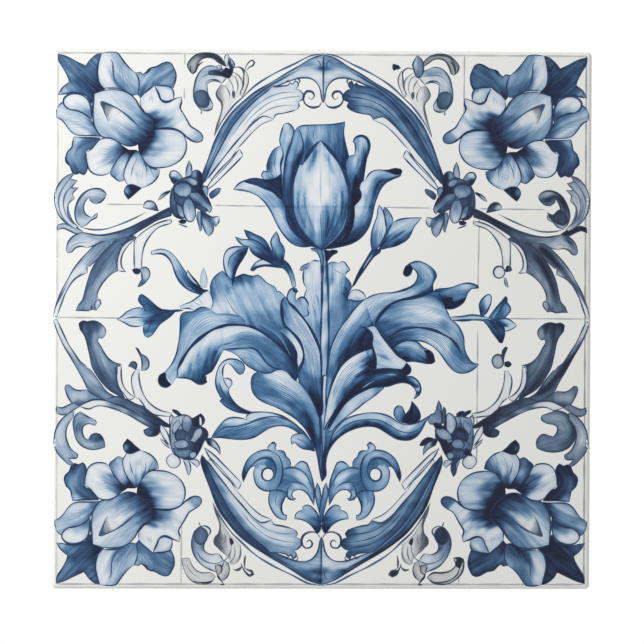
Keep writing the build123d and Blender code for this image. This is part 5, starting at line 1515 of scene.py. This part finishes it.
def painted_cobalt():
    """Cobalt brushed on and fired under clear glaze: streaky washes and dark pooled lines below even gloss."""
    finish, tree = new_finish("cobalt_under_glaze")
    pigment = add(tree, "ShaderNodeAttribute", {"attribute_name": "pigment"}).outputs["Color"]
    depth, grey, streak = add(tree, "ShaderNodeSeparateColor", {"Color": pigment}).outputs
    run = add(tree, "ShaderNodeAttribute", {"attribute_name": "brush_run"}).outputs["Vector"]
    # The brush's hairs leave streaks about 0.6 mm apart, drawn this coarse so that they show
    combed = add(tree, "ShaderNodeVectorMath", {"operation": "MULTIPLY", 0: run, 1: HAIRS})
    hairs = add(tree, "ShaderNodeTexNoise", {"Scale": 1.0, "Detail": 3.0, "Roughness": 0.6,
                                             "Vector": combed.outputs[0]}).outputs["Fac"]
    hairs = add(tree, "ShaderNodeMapRange", {"Value": hairs, "To Min": -0.75, "To Max": 0.75}).outputs[0]
    hairs = add(tree, "ShaderNodeMath", {"operation": "MULTIPLY", 0: hairs, 1: streak}).outputs[0]
    # Wet pigment settles in clouds about 2 mm across
    where = add(tree, "ShaderNodeTexCoord", {}).outputs["Object"]
    clouds = add(tree, "ShaderNodeTexNoise", {"Scale": 1 / PAINT_CLOUD, "Detail": 3.0, "Roughness": 0.6,
                                              "Vector": where}).outputs["Fac"]
    clouds = add(tree, "ShaderNodeMapRange", {"Value": clouds, "To Min": -0.2, "To Max": 0.2}).outputs[0]
    uneven = add(tree, "ShaderNodeMath", {"operation": "ADD", 0: hairs, 1: clouds}).outputs[0]
    # Bare glaze shows little of either
    wet = add(tree, "ShaderNodeMapRange", {"Value": depth, "From Max": 0.35, "To Min": 0.08,
                                           "To Max": 0.5}).outputs[0]
    full = add(tree, "ShaderNodeMath", {"operation": "MULTIPLY_ADD", "use_clamp": True,
                                        0: uneven, 1: wet, 2: depth}).outputs[0]
    blue = colour_run(tree, COBALT, full)
    dull = colour_run(tree, GREY_COBALT, full)
    colour = add(tree, "ShaderNodeMix", {"data_type": "RGBA", 0: grey, 6: blue, 7: dull}).outputs[2]
    waves = add(tree, "ShaderNodeTexNoise", {"Scale": 1 / GLAZE_WAVE, "Detail": 1.0,
                                             "Vector": where}).outputs["Fac"]
    bump = add(tree, "ShaderNodeBump", {"Strength": 0.25, "Distance": GLAZE_RELIEF, "Height": waves}).outputs[0]
    shader = add(tree, "ShaderNodeBsdfPrincipled", {"Base Color": colour, "Roughness": GLAZE_ROUGHNESS,
                                                    "IOR": GLAZE_IOR, "Normal": bump})
    add(tree, "ShaderNodeOutputMaterial", {"Surface": shader.outputs[0]})
    return finish


def glazed_earthenware():
    """Pressed earthenware: smooth white glaze on the face and down the sides, chalky bare biscuit below."""
    finish, tree = new_finish("glazed_earthenware")
    where = add(tree, "ShaderNodeTexCoord", {}).outputs["Object"]
    height = add(tree, "ShaderNodeSeparateXYZ", {"Vector": where}).outputs["Z"]
    # The glaze ends in an uneven line about 2 mm above the back
    wander = add(tree, "ShaderNodeTexNoise", {"Scale": 1 / EDGE_WAVE, "Detail": 3.0,
                                              "Vector": where}).outputs["Fac"]
    level = add(tree, "ShaderNodeMath", {"operation": "MULTIPLY_ADD", 0: wander, 1: EDGE_WANDER,
                                         2: height}).outputs[0]
    glazed = add(tree, "ShaderNodeMapRange", {"Value": level, "From Min": EDGE_BARE,
                                              "From Max": EDGE_FULL}).outputs[0]
    # Clay grains are finer than this, drawn 0.5 mm wide so that they show
    grains = add(tree, "ShaderNodeTexNoise", {"Scale": 1 / CLAY_GRAIN, "Detail": 4.0,
                                              "Vector": where}).outputs["Fac"]
    clouds = add(tree, "ShaderNodeTexNoise", {"Scale": 1 / CLAY_CLOUD, "Detail": 2.0,
                                              "Vector": where}).outputs["Fac"]
    both = add(tree, "ShaderNodeMath", {"operation": "ADD", 0: grains, 1: clouds}).outputs[0]
    clay = add(tree, "ShaderNodeMapRange", {"Value": both, "From Min": 0.7, "From Max": 1.3}).outputs[0]
    biscuit = colour_run(tree, {0.0: "#D9CFBF", 1.0: "#EDE6DA"}, clay)
    tint = add(tree, "ShaderNodeTexNoise", {"Scale": 1 / GLAZE_CLOUD, "Detail": 2.0,
                                            "Vector": where}).outputs["Fac"]
    white = colour_run(tree, {0.3: "#F2F1EC", 0.7: GLAZE_WHITE}, tint)
    colour = add(tree, "ShaderNodeMix", {"data_type": "RGBA", 0: glazed, 6: biscuit, 7: white}).outputs[2]
    rough = add(tree, "ShaderNodeMapRange", {"Value": glazed, "To Min": BISCUIT_ROUGHNESS,
                                             "To Max": GLAZE_ROUGHNESS}).outputs[0]
    waves = add(tree, "ShaderNodeTexNoise", {"Scale": 1 / GLAZE_WAVE, "Detail": 1.0,
                                             "Vector": where}).outputs["Fac"]
    relief = add(tree, "ShaderNodeMix", {"data_type": "FLOAT", 0: glazed, 2: grains, 3: waves}).outputs[0]
    bump = add(tree, "ShaderNodeBump", {"Strength": 0.25, "Distance": GLAZE_RELIEF, "Height": relief}).outputs[0]
    shader = add(tree, "ShaderNodeBsdfPrincipled", {"Base Color": colour, "Roughness": rough, "IOR": GLAZE_IOR,
                                                    "Normal": bump})
    add(tree, "ShaderNodeOutputMaterial", {"Surface": shader.outputs[0]})
    return finish


# The pieces

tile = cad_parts["tile"]
tile.data.materials.clear()
tile.data.materials.append(glazed_earthenware())

film = painted_film(art)
film.data.materials.append(painted_cobalt())
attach(film, "root")


# Floor, light and camera

def photo_table():
    """The plain pale table under the tile. It glows evenly, as lit paper does, and is clear from below."""
    reach = 1.2
    corners = [(-reach, -reach, 0), (reach, -reach, 0), (reach, reach, 0), (-reach, reach, 0)]
    mesh = bpy.data.meshes.new("photo_table")
    mesh.from_pydata(corners, [], [(0, 1, 2, 3)])
    table = bpy.data.objects.new("photo_table", mesh)
    bpy.context.collection.objects.link(table)
    finish, tree = new_finish("lit_paper")
    glow = add(tree, "ShaderNodeEmission", {"Color": linear("#FFFFFF"), "Strength": 1.02}).outputs[0]
    clear = add(tree, "ShaderNodeBsdfTransparent", {}).outputs[0]
    below = add(tree, "ShaderNodeNewGeometry", {}).outputs["Backfacing"]
    either = add(tree, "ShaderNodeMixShader", {0: below, 1: glow, 2: clear}).outputs[0]
    add(tree, "ShaderNodeOutputMaterial", {"Surface": either})
    mesh.materials.append(finish)


def soft_lamp(name, place, size, watts):
    """A square studio lamp that faces the tile."""
    lamp = bpy.data.lights.new(name, "AREA")
    lamp.size = size
    lamp.energy = watts
    holder = bpy.data.objects.new(name, lamp)
    holder.location = place
    holder.rotation_euler = (-Vector(place)).to_track_quat("-Z", "Y").to_euler()
    bpy.context.collection.objects.link(holder)


def studio_light():
    """Soft light from the upper left, and an even pale room round it."""
    soft_lamp("key_lamp", place=(-0.25, 0.13, 0.28), size=0.18, watts=1.12)
    room = bpy.data.worlds.new("studio")
    room.use_nodes = True
    glow = room.node_tree.nodes["Background"].inputs
    glow["Color"].default_value = linear("#F7F9FB")
    glow["Strength"].default_value = 0.44
    bpy.context.scene.world = room


def camera_above():
    """A long lens straight above the tile, turned by the little that the picture shows."""
    lens = bpy.data.cameras.new("camera")
    lens.sensor_width = 36
    lens.lens = 165.94
    lens.clip_start = 0.01
    camera = bpy.data.objects.new("camera", lens)
    camera.location = (-0.01966, 0.00511, 0.6)
    camera.rotation_euler = Euler([math.radians(a) for a in (-0.542, -1.887, 0.246)])
    bpy.context.collection.objects.link(camera)
    bpy.context.scene.camera = camera


photo_table()
studio_light()
camera_above()
bpy.context.scene.view_settings.view_transform = "Standard"
